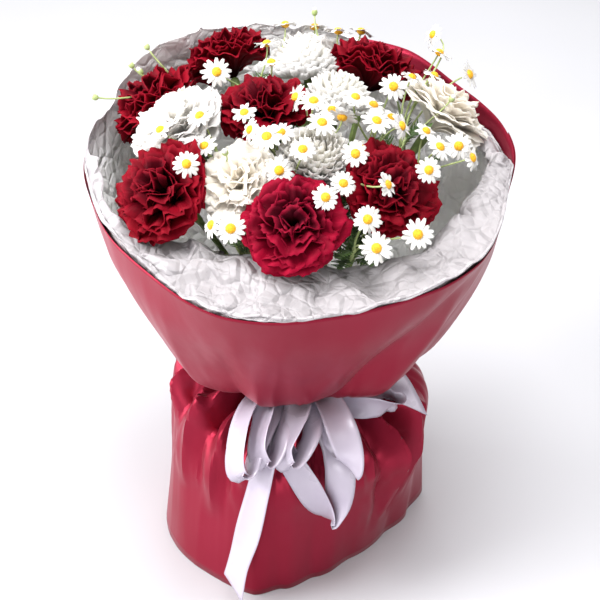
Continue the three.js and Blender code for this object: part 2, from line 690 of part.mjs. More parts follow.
function growSpray(name, forkPlace, heads, seed, others, petals) {
  const random = seededRandom(seed);
  const fork = new THREE.Vector3(...forkPlace);
  const bend = (slot, bow) => fork.clone().lerp(lowerStem(slot)[0], 0.45).add(bow);
  const stem = (slot, bow, grow) => rod(
    [fork.clone().addScaledVector(UP, grow), bend(slot, bow), ...lowerStem(slot)],
    SPRAY_STEM_RADIUS + grow,
    3,
    1,
  );
  const { slot, bow } = bindStem(stem, fork, 4, random, others, petals);
  const parts = [stem(slot, bow, 0).subtract(GROUND)];
  const room = [stem(slot, bow, ROOM)];
  const down = bend(slot, bow).sub(fork).normalize();
  heads.forEach(([where, facingName], order) => {
    const root = fork.clone().addScaledVector(down, 1 + 4 * order);
    const place = new THREE.Vector3(...where);
    const facing = headFacing(place, facingName);
    const isBud = facingName === 'bud' || facingName === 'out';
    const head = (arch, grow) => stalkSolid(root, place, facing, arch, grow)
      .add(isBud ? budSolid(place, facing, grow) : headSolid(place, facing, grow));
    const arch = bentClear((trial) => head(trial, 0), random, 12, others, petals) ?? new THREE.Vector3();
    parts.push(head(arch, 0));
    room.push(head(arch, ROOM));
  });
  return { name, solid: fuse(parts), room: fuse(room) };
}

// ---------------------------------------------------------------- ribbon and tie

const RIBBON_WIDTH = 25;
const BAND_HEIGHT = 8; // the ribbon is crushed to this width where it is tied
const BAND_RADIUS = 29.6;
const RIBBON_THICKNESS = 0.8;
const TWINE_RADIUS = 22; // outer radius of the winding of twine
const KNOT = new THREE.Vector3(0, -37, 163);

// Each strip: its middle line from the knot outwards, and the direction of its width at those points.
// Loops turn back to the knot, and the two last ones are the tails.
const RIBBON_STRIPS = [
  [
    [
      [-5, -39, 163], [-32, -78, 164], [-48, -108, 144], [-46, -116, 117], [-36, -108, 132],
      [-22, -76, 157], [-4, -40, 161],
    ],
    [
      [0.8, -0.4, 0], [0.9, -0.4, 0], [0.9, -0.4, 0], [0.9, -0.4, 0], [0.9, -0.4, 0],
      [0.9, -0.4, 0], [0.8, -0.4, 0],
    ],
  ],
  [
    [
      [-3, -40, 166], [-15, -82, 168], [-24, -117, 152], [-24, -124, 127], [-17, -108, 141],
      [-2, -41, 163],
    ],
    [
      [1, -0.1, 0], [1, -0.1, 0], [1, -0.1, 0], [1, -0.1, 0], [1, -0.1, 0], [1, -0.1, 0],
    ],
  ],
  [
    [
      [1, -41, 168], [3, -88, 172], [0, -126, 161], [-4, -134, 137], [-1, -116, 146],
      [1, -42, 165],
    ],
    [
      [1, 0, 0], [1, 0, 0], [1, 0, -0.2], [1, 0, -0.2], [1, 0, -0.2], [1, 0, 0],
    ],
  ],
  [
    [
      [4, -40, 166], [22, -84, 167], [40, -116, 152], [44, -124, 127], [35, -107, 142],
      [4, -41, 163],
    ],
    [
      [1, 0.3, 0], [0.9, 0.3, -0.2], [0.9, 0.3, -0.3], [0.9, 0.3, -0.3], [0.9, 0.3, -0.2],
      [1, 0.3, 0],
    ],
  ],
  [
    [
      [-1, -40, 158], [-6, -88, 141], [0, -112, 108], [22, -118, 78], [34, -115, 103],
      [30, -92, 133], [3, -40, 157],
    ],
    [
      [1, 0, 0], [1, 0, 0], [0.9, 0, 0.4], [1, 0, 0], [0.95, 0.1, -0.2], [1, 0.2, 0], [1, 0, 0],
    ],
  ],
  [
    [
      [5, -39, 164], [38, -66, 164], [68, -80, 166], [82, -76, 174], [58, -62, 170], [6, -37, 166],
    ],
    [
      [0.4, 0.6, 0.6], [-0.1, 0.6, 0.8], [-0.2, 0.3, 0.9], [-0.2, 0.3, 0.9], [-0.1, 0.6, 0.8],
      [0.4, 0.6, 0.6],
    ],
  ],
  [
    [
      [-4, -40, 157], [-29, -88, 142], [-42, -116, 104], [-49, -124, 60], [-57, -126, 20],
      [-60, -138, 1.5],
    ],
    [
      [1, -0.1, 0], [0.95, -0.2, 0], [0.95, -0.2, 0], [0.95, -0.2, 0], [0.95, -0.2, 0],
      [0.95, -0.2, 0],
    ],
  ],
  [
    [
      [6, -38, 159], [46, -60, 157], [78, -82, 152], [98, -86, 138],
    ],
    [
      [0.3, 0.7, 0.3], [0.5, 0.7, 0.2], [0.5, 0.7, 0.2], [0.3, 0.6, 0.4],
    ],
  ],
];

function ribbonStrip([line, widths], isTail) {
  const middle = new THREE.CatmullRomCurve3(line.map((p) => new THREE.Vector3(...p)), false, 'centripetal');
  const turns = new THREE.CatmullRomCurve3(widths.map((p) => new THREE.Vector3(...p)));
  const rows = line.length + 1;
  return slab({
    columns: 1,
    rows,
    offset: () => -RIBBON_THICKNESS / 2,
    thickness: RIBBON_THICKNESS,
    point: (i, j) => {
      const share = j / rows;
      const fromKnot = isTail ? share : Math.min(share, 1 - share);
      const half = (RIBBON_WIDTH / 2) * Math.min(1, 0.16 + 2.6 * fromKnot);
      const across = turns.getPoint(share).normalize();
      return middle.getPoint(share).addScaledVector(across, i === 0 ? -half : half);
    },
  });
}

function ribbon() {
  const half = BAND_HEIGHT / 2;
  const middle = (NECK_TOP + NECK_BOTTOM) / 2;
  const band = new THREE.LatheGeometry([
    new THREE.Vector2(BAND_RADIUS, -half),
    new THREE.Vector2(BAND_RADIUS + 1, -half),
    new THREE.Vector2(BAND_RADIUS + 1, half),
    new THREE.Vector2(BAND_RADIUS, half),
    new THREE.Vector2(BAND_RADIUS, -half),
  ], 16).rotateX(Math.PI / 2).translate(0, 0, middle);
  const knot = new THREE.SphereGeometry(1, 7, 5).scale(11, 9, 7).translate(...KNOT.toArray());
  const strips = RIBBON_STRIPS.map((strip, k) => ribbonStrip(strip, k >= RIBBON_STRIPS.length - 2));
  return fuse([toSolid(band), toSolid(knot), ...strips]);
}

// The winding of twine round the stems, drawn as tight as they allow.
function twine(stems) {
  const half = 5;
  const middle = (NECK_TOP + NECK_BOTTOM) / 2;
  const ring = (radius) => toSolid(new THREE.LatheGeometry([
    new THREE.Vector2(radius, -half),
    new THREE.Vector2(TWINE_RADIUS, -half),
    new THREE.Vector2(TWINE_RADIUS, half),
    new THREE.Vector2(radius, half),
    new THREE.Vector2(radius, -half),
  ], 16).rotateX(Math.PI / 2).translate(0, 0, middle));
  let inner = TWINE_RADIUS - 1.2;
  while (isClear(ring(inner - 0.1), stems)) inner -= 0.1;
  return ring(inner);
}

// ---------------------------------------------------------------- the bunch put together

const outerBack = paperSheet(BACK_SHEET_START, 0);
const outerFront = paperSheet(FRONT_SHEET_START, 1);
const tissueFront = tissueSheet(FRONT_SHEET_START, 0);
const tissueBack = tissueSheet(BACK_SHEET_START, 1);
const placed = [outerBack, outerFront, tissueFront, tissueBack]; // what the next piece keeps clear of

// Stems are bound from the middle outwards, each bent clear of those that are there.
const planRadius = (bloom) => Math.hypot(bloom.middle.x, bloom.middle.y);
const rooms = [];
for (const bloom of blooms.slice().sort((a, b) => planRadius(a) - planRadius(b))) {
  const make = (slot, bow, grow) => bloomStem(bloom, slot, bow, grow);
  const { slot, bow } = bindStem(make, bloom.middle, 3, bloom.random, placed, []);
  bloom.stem = bloomStem(bloom, slot, bow, 0);
  bloom.solid = bloom.kind === 'carnation' ? carnationBloom(bloom) : chrysanthemumBloom(bloom);
  placed.push(bloom.stem);
  rooms.push({ bloom, room: bloomStem(bloom, slot, bow, ROOM) });
}

const petals = blooms.map((bloom) => bloom.solid);
for (const bloom of blooms.filter(({ name }) => LEAFY.includes(name))) {
  const others = placed.filter((solid) => solid !== bloom.stem);
  const leafy = withLeaf(bloom.stem, bloom, [...others, ...petals]);
  placed.splice(placed.indexOf(bloom.stem), 1, leafy);
  bloom.stem = leafy;
}

const sprays = [];
SPRAYS.forEach(([name, fork, heads], index) => {
  const spray = growSpray(name, fork, heads, 300 + index, placed, petals);
  placed.push(spray.solid);
  sprays.push(spray);
  rooms.push({ bloom: null, room: spray.room });
});

// What passes through a bloom has its room cut out of the petals.
for (const bloom of blooms) {
  const passing = rooms.filter((entry) => entry.bloom !== bloom && entry.room.minGap(bloom.solid, 1) === 0);
  if (passing.length > 0) {
    bloom.solid = withoutScraps(passing.reduce((body, { room }) => body.subtract(room), bloom.solid));
  }
}

addPiece('outer_wrap_back', outerBack, 'paper');
addPiece('outer_wrap_front', outerFront, 'paper');
addPiece('tissue_front', tissueFront, 'tissue');
addPiece('tissue_back', tissueBack, 'tissue');
addPiece('satin_ribbon', ribbon(), 'ribbon');
addPiece('binding_twine', twine(placed.slice(4)), 'twine');
for (const { name, colour, solid, stem } of blooms) {
  addPiece(name, solid, colour);
  addPiece(`${name}_stem`, stem, 'stem');
}
for (const { name, solid } of sprays) {
  addPiece(name, solid, 'chamomile');
}

const bunch = new THREE.Group();
bunch.add(...pieces);
const centre = new THREE.Box3().setFromObject(bunch).getCenter(new THREE.Vector3());
for (const piece of pieces) piece.geometry.translate(-centre.x, -centre.y, 0);

export default bunch;
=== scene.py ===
"""Looks of a hand-tied bunch of red and white carnations, chrysanthemums and chamomile in satin paper.

Sizes are in millimetres round the axis of the tie, with +Z up and the front towards -Y, until a mesh is
finished. There they are moved to the frame's own origin and turned into metres.
"""
import logging
from dataclasses import dataclass, field
from enum import Enum
from math import acos, cos, pi, radians, sin, tanh
from random import Random
from typing import Callable, ClassVar, Sequence

import bmesh
import bpy
from mathutils import Euler, Matrix, Quaternion, Vector, noise


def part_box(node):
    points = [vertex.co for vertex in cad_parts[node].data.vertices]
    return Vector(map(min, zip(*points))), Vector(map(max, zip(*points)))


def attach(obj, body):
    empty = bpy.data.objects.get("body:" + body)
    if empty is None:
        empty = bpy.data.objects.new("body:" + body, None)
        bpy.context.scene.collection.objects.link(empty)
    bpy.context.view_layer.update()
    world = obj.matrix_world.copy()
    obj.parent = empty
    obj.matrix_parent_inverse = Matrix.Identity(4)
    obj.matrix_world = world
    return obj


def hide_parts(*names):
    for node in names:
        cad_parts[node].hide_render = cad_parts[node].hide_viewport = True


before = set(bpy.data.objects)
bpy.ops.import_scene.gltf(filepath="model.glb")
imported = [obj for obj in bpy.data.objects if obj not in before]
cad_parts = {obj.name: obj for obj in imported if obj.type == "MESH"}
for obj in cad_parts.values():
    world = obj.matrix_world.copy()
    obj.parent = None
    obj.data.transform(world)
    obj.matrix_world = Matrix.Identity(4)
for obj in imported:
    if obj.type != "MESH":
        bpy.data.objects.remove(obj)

log = logging.getLogger("bouquet")

MM = 0.001
UP = Vector((0.0, 0.0, 1.0))
GOLDEN_ANGLE = 137.508
TIE_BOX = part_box("binding_twine")
TIE_AXIS = Vector(((TIE_BOX[0].x + TIE_BOX[1].x) / 2, (TIE_BOX[0].y + TIE_BOX[1].y) / 2, 0.0)) / MM

Place = Callable[[float, float], Vector]
Colour = tuple[float, float, float, float]


def colour(code: str) -> Colour:
    """A linear colour from a hexadecimal sRGB code."""
    parts = [int(code[k:k + 2], 16) / 255 for k in (0, 2, 4)]
    linear = [c / 12.92 if c <= 0.04045 else ((c + 0.055) / 1.055) ** 2.4 for c in parts]
    return (*linear, 1.0)


def mix(a: float, b: float, share: float) -> float:
    """The value at a share of the way from a to b."""
    return a + (b - a) * share


def polar(radius: float, angle: float, height: float) -> Vector:
    """A point from its radius, its angle in degrees and its height."""
    return Vector((radius * cos(radians(angle)), radius * sin(radians(angle)), height))


def round_value(table: Sequence[tuple[float, float]], angle: float) -> float:
    """Eases a table of angle and value round the full circle.

    Args:
        table: pairs of angle in degrees and value, in rising order.
        angle: the angle asked for, in degrees.

    Returns:
        The value at that angle.
    """
    angle %= 360
    after = next((k for k, entry in enumerate(table) if entry[0] > angle), 0)
    start, low = table[after - 1]
    end, high = table[after]
    share = ((angle - start) % 360) / ((end - start) % 360)
    return mix(low, high, share * share * (3 - 2 * share))


def clamp(value: float) -> float:
    """The value, kept from 0 to 1."""
    return min(1.0, max(0.0, value))


def bezier(start: Vector, first: Vector, second: Vector, end: Vector, t: float) -> Vector:
    """A point of a cubic curve, at a share from 0 to 1."""
    s = 1 - t
    return start * s ** 3 + first * 3 * t * s * s + second * 3 * t * t * s + end * t ** 3


def put(name: str, data: bpy.types.ID) -> bpy.types.Object:
    """Puts a new object with this data in the scene."""
    made = bpy.data.objects.new(name, data)
    bpy.context.scene.collection.objects.link(made)
    return made


def spline(points: Sequence[Vector], share: float) -> Vector:
    """A point of a smooth curve through the points, at a share of its steps."""
    step = min(share * (len(points) - 1), len(points) - 1.000001)
    k = int(step)
    t = step - k
    a, b = points[k], points[k + 1]
    before = points[k - 1] if k > 0 else a * 2 - b
    after = points[k + 2] if k + 2 < len(points) else b * 2 - a
    out, into = (b - before) * 0.5, (after - a) * 0.5
    return (a * (2 * t ** 3 - 3 * t ** 2 + 1) + out * (t ** 3 - 2 * t ** 2 + t)
            + b * (3 * t ** 2 - 2 * t ** 3) + into * (t ** 3 - t ** 2))


# ---------------------------------------------------------------- finishes


class Socket:
    """An output of a shader node, for maths written as Python expressions."""

    def __init__(self, shader: "Shader", output: bpy.types.NodeSocket) -> None:
        """Wraps one output of a node of the shader."""
        self.shader = shader
        self.output = output

    def maths(self, operation: str, other: object = 0.0) -> "Socket":
        """Adds a Math node for this socket and another value or socket."""
        return self.shader.node("ShaderNodeMath", {"operation": operation}, {0: self, 1: other})

    def __add__(self, other: object) -> "Socket":
        """Adds a value or socket."""
        return self.maths("ADD", other)

    def __mul__(self, other: object) -> "Socket":
        """Multiplies by a value or socket."""
        return self.maths("MULTIPLY", other)


class Shader:
    """The node tree of one material."""

    def __init__(self, name: str) -> None:
        """Makes an empty material of that name."""
        self.material = bpy.data.materials.new(name)
        self.material.use_nodes = True
        self.tree = self.material.node_tree
        self.tree.nodes.clear()

    def node(
        self, kind: str, settings: dict | None = None, inputs: dict | None = None, output: int | str = 0,
    ) -> Socket:
        """Adds a node.

        Args:
            kind: the node's type.
            settings: what is set on the node first.
            inputs: socket names or numbers, with the values or sockets that go in.
            output: the output that is wanted.

        Returns:
            That output.
        """
        made = self.tree.nodes.new(kind)
        for key, value in (settings or {}).items():
            setattr(made, key, value)
        for key, value in (inputs or {}).items():
            if isinstance(value, Socket):
                self.tree.links.new(value.output, made.inputs[key])
            else:
                made.inputs[key].default_value = value
        return Socket(self, made.outputs[output])

    def attribute(self, name: str) -> Socket:
        """A number stored on the piece's points."""
        return self.node("ShaderNodeAttribute", {"attribute_name": name}, output="Fac")

    def place(self) -> Socket:
        """The point's own place on the piece."""
        return self.node("ShaderNodeTexCoord", output="Object")

    def stretched(self, scale: Sequence[float]) -> Socket:
        """The point's place, scaled along each axis."""
        return self.node("ShaderNodeMapping", None, {"Vector": self.place(), "Scale": scale})

    def noise(self, scale: float, detail: float = 3, where: Socket | None = None) -> Socket:
        """Noise from 0 to 1, by place."""
        inputs = {"Vector": where or self.place(), "Scale": scale, "Detail": detail}
        return self.node("ShaderNodeTexNoise", None, inputs)

    def blend(self, factor: Socket | float, first: object, second: object) -> Socket:
        """Mixes two colours."""
        return self.node("ShaderNodeMix", {"data_type": "RGBA"}, {0: factor, 6: first, 7: second}, 2)

    def level(
        self, factor: Socket, low: float, high: float, to_low: float = 0.0, to_high: float = 1.0,
    ) -> Socket:
        """Maps a range of a number to another, and keeps it inside."""
        return self.node("ShaderNodeMapRange", None, {0: factor, 1: low, 2: high, 3: to_low, 4: to_high})

    def bump(self, height: Socket, strength: float, depth_mm: float) -> Socket:
        """A bumped normal."""
        inputs = {"Height": height, "Strength": strength, "Distance": depth_mm * MM}
        return self.node("ShaderNodeBump", None, inputs)

    def surface(self, **inputs: object) -> bpy.types.Material:
        """Ends the tree in a Principled BSDF with these inputs and answers with the material."""
        return self.end_in(self.principled(inputs))

    def glowing(self, share: Socket | float, glow: str, **inputs: object) -> bpy.types.Material:
        """Ends the tree like surface does, but a share of it is see-through to light of the glow's colour."""
        solid = self.principled(inputs)
        thin = self.node("ShaderNodeBsdfTranslucent", None, {"Color": colour(glow)})
        return self.end_in(self.node("ShaderNodeMixShader", None, {0: share, 1: solid, 2: thin}))

    def principled(self, inputs: dict) -> Socket:
        """A Principled BSDF, with the inputs named in Python's way."""
        named = {key.replace("_", " "): value for key, value in inputs.items()}
        return self.node("ShaderNodeBsdfPrincipled", None, named)

    def end_in(self, shader: Socket) -> bpy.types.Material:
        """Links the shader to the material's output."""
        output = self.tree.nodes.new("ShaderNodeOutputMaterial")
        self.tree.links.new(shader.output, output.inputs["Surface"])
        return self.material


@dataclass(frozen=True)
class Finish:
    """A finish that makes its material once."""

    name: str
    made: ClassVar[dict[str, bpy.types.Material]] = {}

    def material(self) -> bpy.types.Material:
        """The finish's material."""
        if self.name not in Finish.made:
            Finish.made[self.name] = self.make(Shader(self.name))
        return Finish.made[self.name]

    def make(self, shader: Shader) -> bpy.types.Material:
        """Builds the nodes."""
        raise NotImplementedError


@dataclass(frozen=True)
class PetalFinish(Finish):
    """Petals with painted shade at the base and in the heart, a painted highlight at the outer margin, and
    fine veins along them.
    """

    body: str = "820318"
    # painted shade: the dark colour towards each petal's base, deep in the bloom; it also gives the random
    # tone and the veins
    deep: str = "220106"
    # painted highlight: the paler colour of each petal's outer margin, and also the colour of the light that
    # passes through
    edge: str = "8e0a20"
    # painted shade: the darker colour of the inner petals in the heart of the bloom
    heart: str = "520313"
    roughness: float = 0.62
    gloss: float = 0.08
    glow: float = 0.08
    slot: str = "white_petal"

    def make(self, shader: Shader) -> bpy.types.Material:
        """Builds the nodes."""
        along = shader.attribute("along")
        across = shader.attribute("across")
        tint = shader.attribute("tint")
        inner = shader.attribute("inner")
        veins_at = shader.node("ShaderNodeCombineXYZ", None, {0: across, 1: along * 0.12, 2: tint * 9.0})
        veins = shader.noise(34, 2, veins_at)
        mottle = shader.noise(160, 2)
        # painted shade: petals near the heart of the bloom take the darker heart colour
        own = shader.blend(shader.level(inner, 0.35, 0.95), colour(self.body), colour(self.heart))
        # painted shade: each petal is darkened towards its base, deep inside the bloom
        painted_base_shade = shader.level(along, 0.15, 0.72, 1.0, 0.0)
        base = shader.blend(painted_base_shade, own, colour(self.deep))
        tone = shader.level(tint + mottle * 0.5, 0.2, 1.3, 0.0, 0.28)
        base = shader.blend(tone, base, colour(self.deep))
        base = shader.blend(shader.level(veins, 0.42, 0.7, 0.0, 0.18), base, colour(self.deep))
        # painted highlight: the outer margin of each petal is blended towards the paler edge colour
        painted_fringe_highlight = shader.level(along, 0.88, 1.0, 0.0, 0.6)
        base = shader.blend(painted_fringe_highlight, base, colour(self.edge))
        rough = shader.level(mottle, 0.3, 0.7, self.roughness - 0.07, self.roughness + 0.07)
        return shader.glowing(
            self.glow, self.edge, Base_Color=base, Roughness=rough, Specular_IOR_Level=self.gloss,
            Normal=shader.bump(veins + mottle * 0.4, 0.35, 0.25),
        )


@dataclass(frozen=True)
class PaperFinish(Finish):
    """Pearlescent satin paper, with a pale sheen and a fine tooth."""

    body: str = "86182e"
    pale: str = "962b41"
    roughness: float = 0.35

    def make(self, shader: Shader) -> bpy.types.Material:
        """Builds the nodes."""
        cloud = shader.noise(9, 3)
        tooth = shader.noise(900, 2)
        streak = shader.noise(1, 3, shader.stretched((60, 60, 9)))
        base = shader.blend(shader.level(cloud, 0.35, 0.7, 0.0, 0.5), colour(self.body), colour(self.pale))
        rough = shader.level(streak, 0.3, 0.7, self.roughness - 0.05, self.roughness + 0.08)
        normal = shader.bump(streak + tooth * 0.06, 0.35, 0.5)
        return shader.surface(
            Base_Color=base, Roughness=rough, Normal=normal, Metallic=0.5, Sheen_Weight=0.09,
            Sheen_Roughness=0.35, Sheen_Tint=colour("f3b9c2"), Specular_IOR_Level=0.12,
        )


@dataclass(frozen=True)
class TissueFinish(Finish):
    """Thin white tissue with sharp crumples, which lets some light through, with painted light on its inner
    wall and back and painted shade on its front fold past the rim.
    """

    # painted shade: the darker colour of the front fold past the rim
    body: str = "c0bbbe"
    # painted light: the brighter colour of the inner wall and the back
    painted_light_lining: str = "fffefe"
    shade: str = "aca5a9"
    glow: str = "c0bbbc"

    def make(self, shader: Shader) -> bpy.types.Material:
        """Builds the nodes."""
        along = shader.attribute("along")
        warp = shader.node("ShaderNodeTexNoise", None, {"Vector": shader.place(), "Scale": 18.0}, "Color")
        shift = {0: 0.025, 4: shader.place(), 5: warp}
        bent = shader.node("ShaderNodeMix", {"data_type": "VECTOR"}, shift, 1)
        edges = {"feature": "DISTANCE_TO_EDGE"}
        wide, narrow = (
            shader.node("ShaderNodeTexVoronoi", edges, {"Vector": bent, "Scale": size})
            for size in (42.0, 95.0)
        )
        crumple = shader.noise(70, 4)
        fibre = shader.noise(700, 2)
        depth_at = shader.node("ShaderNodeSeparateXYZ", None, {0: shader.place()}, 1)
        # painted light and shade: at the front, past the rim, the tissue takes the darker body colour; inside
        # and at the back it takes the bright lining colour
        turned = shader.level(along, 0.48, 0.62) * shader.level(depth_at, 0.1, 0.03, 0.0, 1.0)
        own = shader.blend(turned, colour(self.painted_light_lining), colour(self.body))
        base = shader.blend(shader.level(crumple, 0.45, 0.75, 0.0, 0.15), own, colour(self.shade))
        height = (shader.level(wide, 0.0, 0.16) * 1.1 + shader.level(narrow, 0.0, 0.2) * 0.5
                  + crumple * 0.5 + fibre * 0.03)
        return shader.glowing(
            shader.level(along, 0.55, 0.7, 0.05, 0.3), self.glow, Base_Color=base, Roughness=0.5,
            Specular_IOR_Level=0.45, Normal=shader.bump(height, 0.8, 2.2),
        )


@dataclass(frozen=True)
class RibbonFinish(Finish):
    """White satin ribbon: fine threads across it and a soft gloss."""

    body: str = "b9b1bf"
    shade: str = "a297aa"

    def make(self, shader: Shader) -> bpy.types.Material:
        """Builds the nodes."""
        along = shader.attribute("along")
        across = shader.attribute("across")
        threads = (along * 900.0).maths("SINE")
        selvedge = shader.level(across.maths("ABSOLUTE"), 0.9, 0.98)
        cloud = shader.noise(30, 3)
        base = shader.blend(shader.level(cloud, 0.35, 0.7, 0.0, 0.5), colour(self.body), colour(self.shade))
        base = shader.blend(selvedge * 0.35, base, colour(self.shade))
        return shader.surface(
            Base_Color=base, Roughness=shader.level(cloud, 0.3, 0.7, 0.26, 0.36), Metallic=0.05,
            Normal=shader.bump(threads * 0.5 + selvedge, 0.12, 0.12), Sheen_Weight=0.05, Sheen_Roughness=0.3,
            Coat_Weight=0.2, Coat_Roughness=0.25,
        )


@dataclass(frozen=True)
class GrownFinish(Finish):
    """Green or coloured plant parts with a mottled, waxy skin."""

    body: str = "56692f"
    other: str = "7f9350"
    roughness: float = 0.5
    scale: float = 90
    depth: float = 0.3

    def make(self, shader: Shader) -> bpy.types.Material:
        """Builds the nodes."""
        mottle = shader.noise(self.scale, 3)
        fibre = shader.noise(1, 3, shader.stretched((900, 900, 60)))
        base = shader.blend(shader.level(mottle, 0.35, 0.68), colour(self.body), colour(self.other))
        rough = shader.level(fibre, 0.3, 0.7, self.roughness - 0.08, self.roughness + 0.1)
        return shader.surface(
            Base_Color=base, Roughness=rough, Normal=shader.bump(fibre + mottle, 0.4, self.depth),
            Sheen_Weight=0.1,
        )


@dataclass(frozen=True)
class TwineFinish(Finish):
    """Jute twine with twisted, hairy fibres."""

    body: str = "b99a6b"
    shade: str = "7d6038"

    def make(self, shader: Shader) -> bpy.types.Material:
        """Builds the nodes."""
        along = shader.attribute("along")
        across = shader.attribute("across")
        strand = (along * 1500.0 + across * 6.3).maths("SINE")
        fibre = shader.noise(1200, 3)
        base = shader.blend(shader.level(strand + fibre, -0.4, 1.4), colour(self.shade), colour(self.body))
        return shader.surface(Base_Color=base, Roughness=0.9, Normal=shader.bump(strand + fibre, 0.7, 0.3))


# Petal colours are given as body, deep (painted shade at the base), edge (painted highlight at the margin)
# and heart (painted shade in the heart of the bloom).
RED_PETAL = PetalFinish("red_petal", slot="red_petal")
BRIGHT_RED_PETAL = PetalFinish(
    "bright_red_petal", "9c042a", "2a020a", "a00c30", "420414", slot="red_petal",
)
WHITE_PETAL = PetalFinish("white_petal", "faf9f8", "f6f3ee", "fdfcfb", "f9f6f0", 0.6, 0.12, 0.45)
CREAM_PETAL = PetalFinish(
    "cream_petal", "faf7f2", "f6efe3", "fdfaf5", "f8f1e4", 0.6, 0.12, 0.45, slot="cream_petal",
)
POMPON_PETAL = PetalFinish("pompon_petal", "efeeee", "eae6dc", "f3f2f1", "eeeade", 0.6, 0.12, 0.4)
SATIN_PAPER = PaperFinish("satin_paper")
TISSUE = TissueFinish("tissue")
SATIN_RIBBON = RibbonFinish("satin_ribbon")
STEM_GREEN = GrownFinish("stem_green")
STALK_GREEN = GrownFinish("stalk_green", body="8c9c5c", other="aebb80")
LEAF_GREEN = GrownFinish("leaf_green", body="2f4a1c", other="4c6a2c", roughness=0.6)
CHAMOMILE_RAY = GrownFinish("chamomile_ray", "d6d5d4", "cac7c1", roughness=0.55, scale=200, depth=0.2)
CHAMOMILE_DISC = GrownFinish("chamomile_disc", "edb70a", "c98204", roughness=0.7, scale=900, depth=0.6)
TWINE = TwineFinish("twine")


# ---------------------------------------------------------------- meshes


class Surface:
    """A mesh in the making, with the numbers that its material reads: along, across, tint and inner."""

    def __init__(self) -> None:
        """Starts an empty mesh."""
        self.mesh = bmesh.new()
        numbers = ("along", "across", "tint", "inner")
        self.layers = {name: self.mesh.verts.layers.float.new(name) for name in numbers}

    def mark(self, vert: bmesh.types.BMVert, **numbers: float) -> None:
        """Stores numbers on a point."""
        for name, value in numbers.items():
            vert[self.layers[name]] = value

    def sheet(
        self, columns: int, rows: int, place: Place, tint: float = 0.5, inner: float = 0.0, slot: int = 0,
        thickness: float = 0.0,
    ) -> list[bmesh.types.BMVert]:
        """Adds a grid that is shaped by a function.

        Args:
            columns: faces across the grid.
            rows: faces along it.
            place: the point for a share across, from -1 to 1, and a share along, from 0 to 1.
            tint: a number for the material, by piece of the whole.
            inner: how near the piece is to the heart of a bloom, from 0 to 1; petal finishes paint shade into
                the heart by it.
            slot: the material's number.
            thickness: makes the sheet a closed body of this thickness, in millimetres.

        Returns:
            The grid's points.
        """
        made = bmesh.ops.create_grid(self.mesh, x_segments=columns, y_segments=rows, size=1.0)
        for vert in made["verts"]:
            across, along = vert.co.x, (vert.co.y + 1) / 2
            vert.co = place(across, along)
            self.mark(vert, along=along, across=across, tint=tint, inner=inner)
        faces = {face for vert in made["verts"] for face in vert.link_faces}
        for face in faces:
            face.material_index = slot
        if thickness:
            bmesh.ops.solidify(self.mesh, geom=list(faces), thickness=thickness)
        return made["verts"]

    def tube(
        self, path: Sequence[Vector], radius: Callable[[float], float], sides: int = 6, slot: int = 0,
    ) -> None:
        """Adds a closed rod along a path.

        Args:
            path: the middle line.
            radius: the radius for a share along the path.
            sides: the faces round it.
            slot: the material's number.
        """
        steps = len(path) - 1
        side = path[0].cross(UP + Vector((0.3, 0.1, 0))) if path[0].length else Vector((1, 0, 0))
        frames = []
        for k in range(steps + 1):
            heading = (path[min(k + 1, steps)] - path[max(k - 1, 0)]).normalized()
            side = (side - heading * side.dot(heading)).normalized()
            frames.append((side.copy(), heading.cross(side)))

        def place(across: float, along: float) -> Vector:
            """The point on the rod's skin."""
            k = round(along * steps)
            turn = (across + 1) * pi
            first, second = frames[k]
            return path[k] + (first * cos(turn) + second * sin(turn)) * radius(along)

        verts = self.weld(self.sheet(sides, steps, place, slot=slot), 1e-4)
        rims = {edge for vert in verts for edge in vert.link_edges if edge.is_boundary}
        caps = bmesh.ops.holes_fill(self.mesh, edges=list(rims), sides=0)["faces"]
        for face in caps:
            face.material_index = slot
        faces = {face for vert in verts for face in vert.link_faces}
        bmesh.ops.recalc_face_normals(self.mesh, faces=list(faces))

    def weld(self, verts: Sequence[bmesh.types.BMVert], distance: float) -> list[bmesh.types.BMVert]:
        """Joins the points that lie within the distance of each other, and answers with those that stay."""
        merged = bmesh.ops.find_doubles(self.mesh, verts=verts, dist=distance)["targetmap"]
        bmesh.ops.weld_verts(self.mesh, targetmap=merged)
        return [vert for vert in verts if vert.is_valid]

    def ball(
        self, centre: Vector, turn: Quaternion, size: Sequence[float], slot: int, rings: int = 6,
    ) -> None:
        """Adds a round body.

        Args:
            centre: its middle.
            turn: how it is turned.
            size: its half sizes along its own axes.
            slot: the material's number.
            rings: faces from pole to pole.
        """
        matrix = Matrix.Translation(centre) @ turn.to_matrix().to_4x4() @ Matrix.Diagonal((*size, 1.0))
        made = bmesh.ops.create_uvsphere(
            self.mesh, u_segments=rings * 2, v_segments=rings, radius=1.0, matrix=matrix,
        )
        for face in {face for vert in made["verts"] for face in vert.link_faces}:
            face.material_index = slot

    def finish(
        self, name: str, finishes: Sequence[Finish], stands_for: str, slot: str, thickness: float = 0.0,
        crisp: float = 180.0,
    ) -> bpy.types.Object:
        """Makes the piece.

        Args:
            name: the piece's name.
            finishes: its finishes, in the order of their numbers.
            stands_for: the solid that it replaces.
            slot: the name of a material slot; not used.
            thickness: of a sheet, in millimetres.
            crisp: the angle, in degrees, past which an edge isn't shaded smooth.

        Returns:
            The piece.
        """
        for vert in self.mesh.verts:
            vert.co = (vert.co + TIE_AXIS) * MM
        for face in self.mesh.faces:
            face.smooth = True
        mesh = bpy.data.meshes.new(name)
        self.mesh.to_mesh(mesh)
        self.mesh.free()
        if crisp < 180:
            mesh.set_sharp_from_angle(angle=radians(crisp))
        piece = put(name, mesh)
        for finish in finishes:
            mesh.materials.append(finish.material())
        if thickness:
            wall = piece.modifiers.new("wall", "SOLIDIFY")
            wall.thickness, wall.offset = thickness * MM, 0.0
        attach(piece, "root")
        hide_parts(stands_for)
        log.info("%s: %d faces", name, len(mesh.polygons))
        return piece


# ---------------------------------------------------------------- paper and tissue


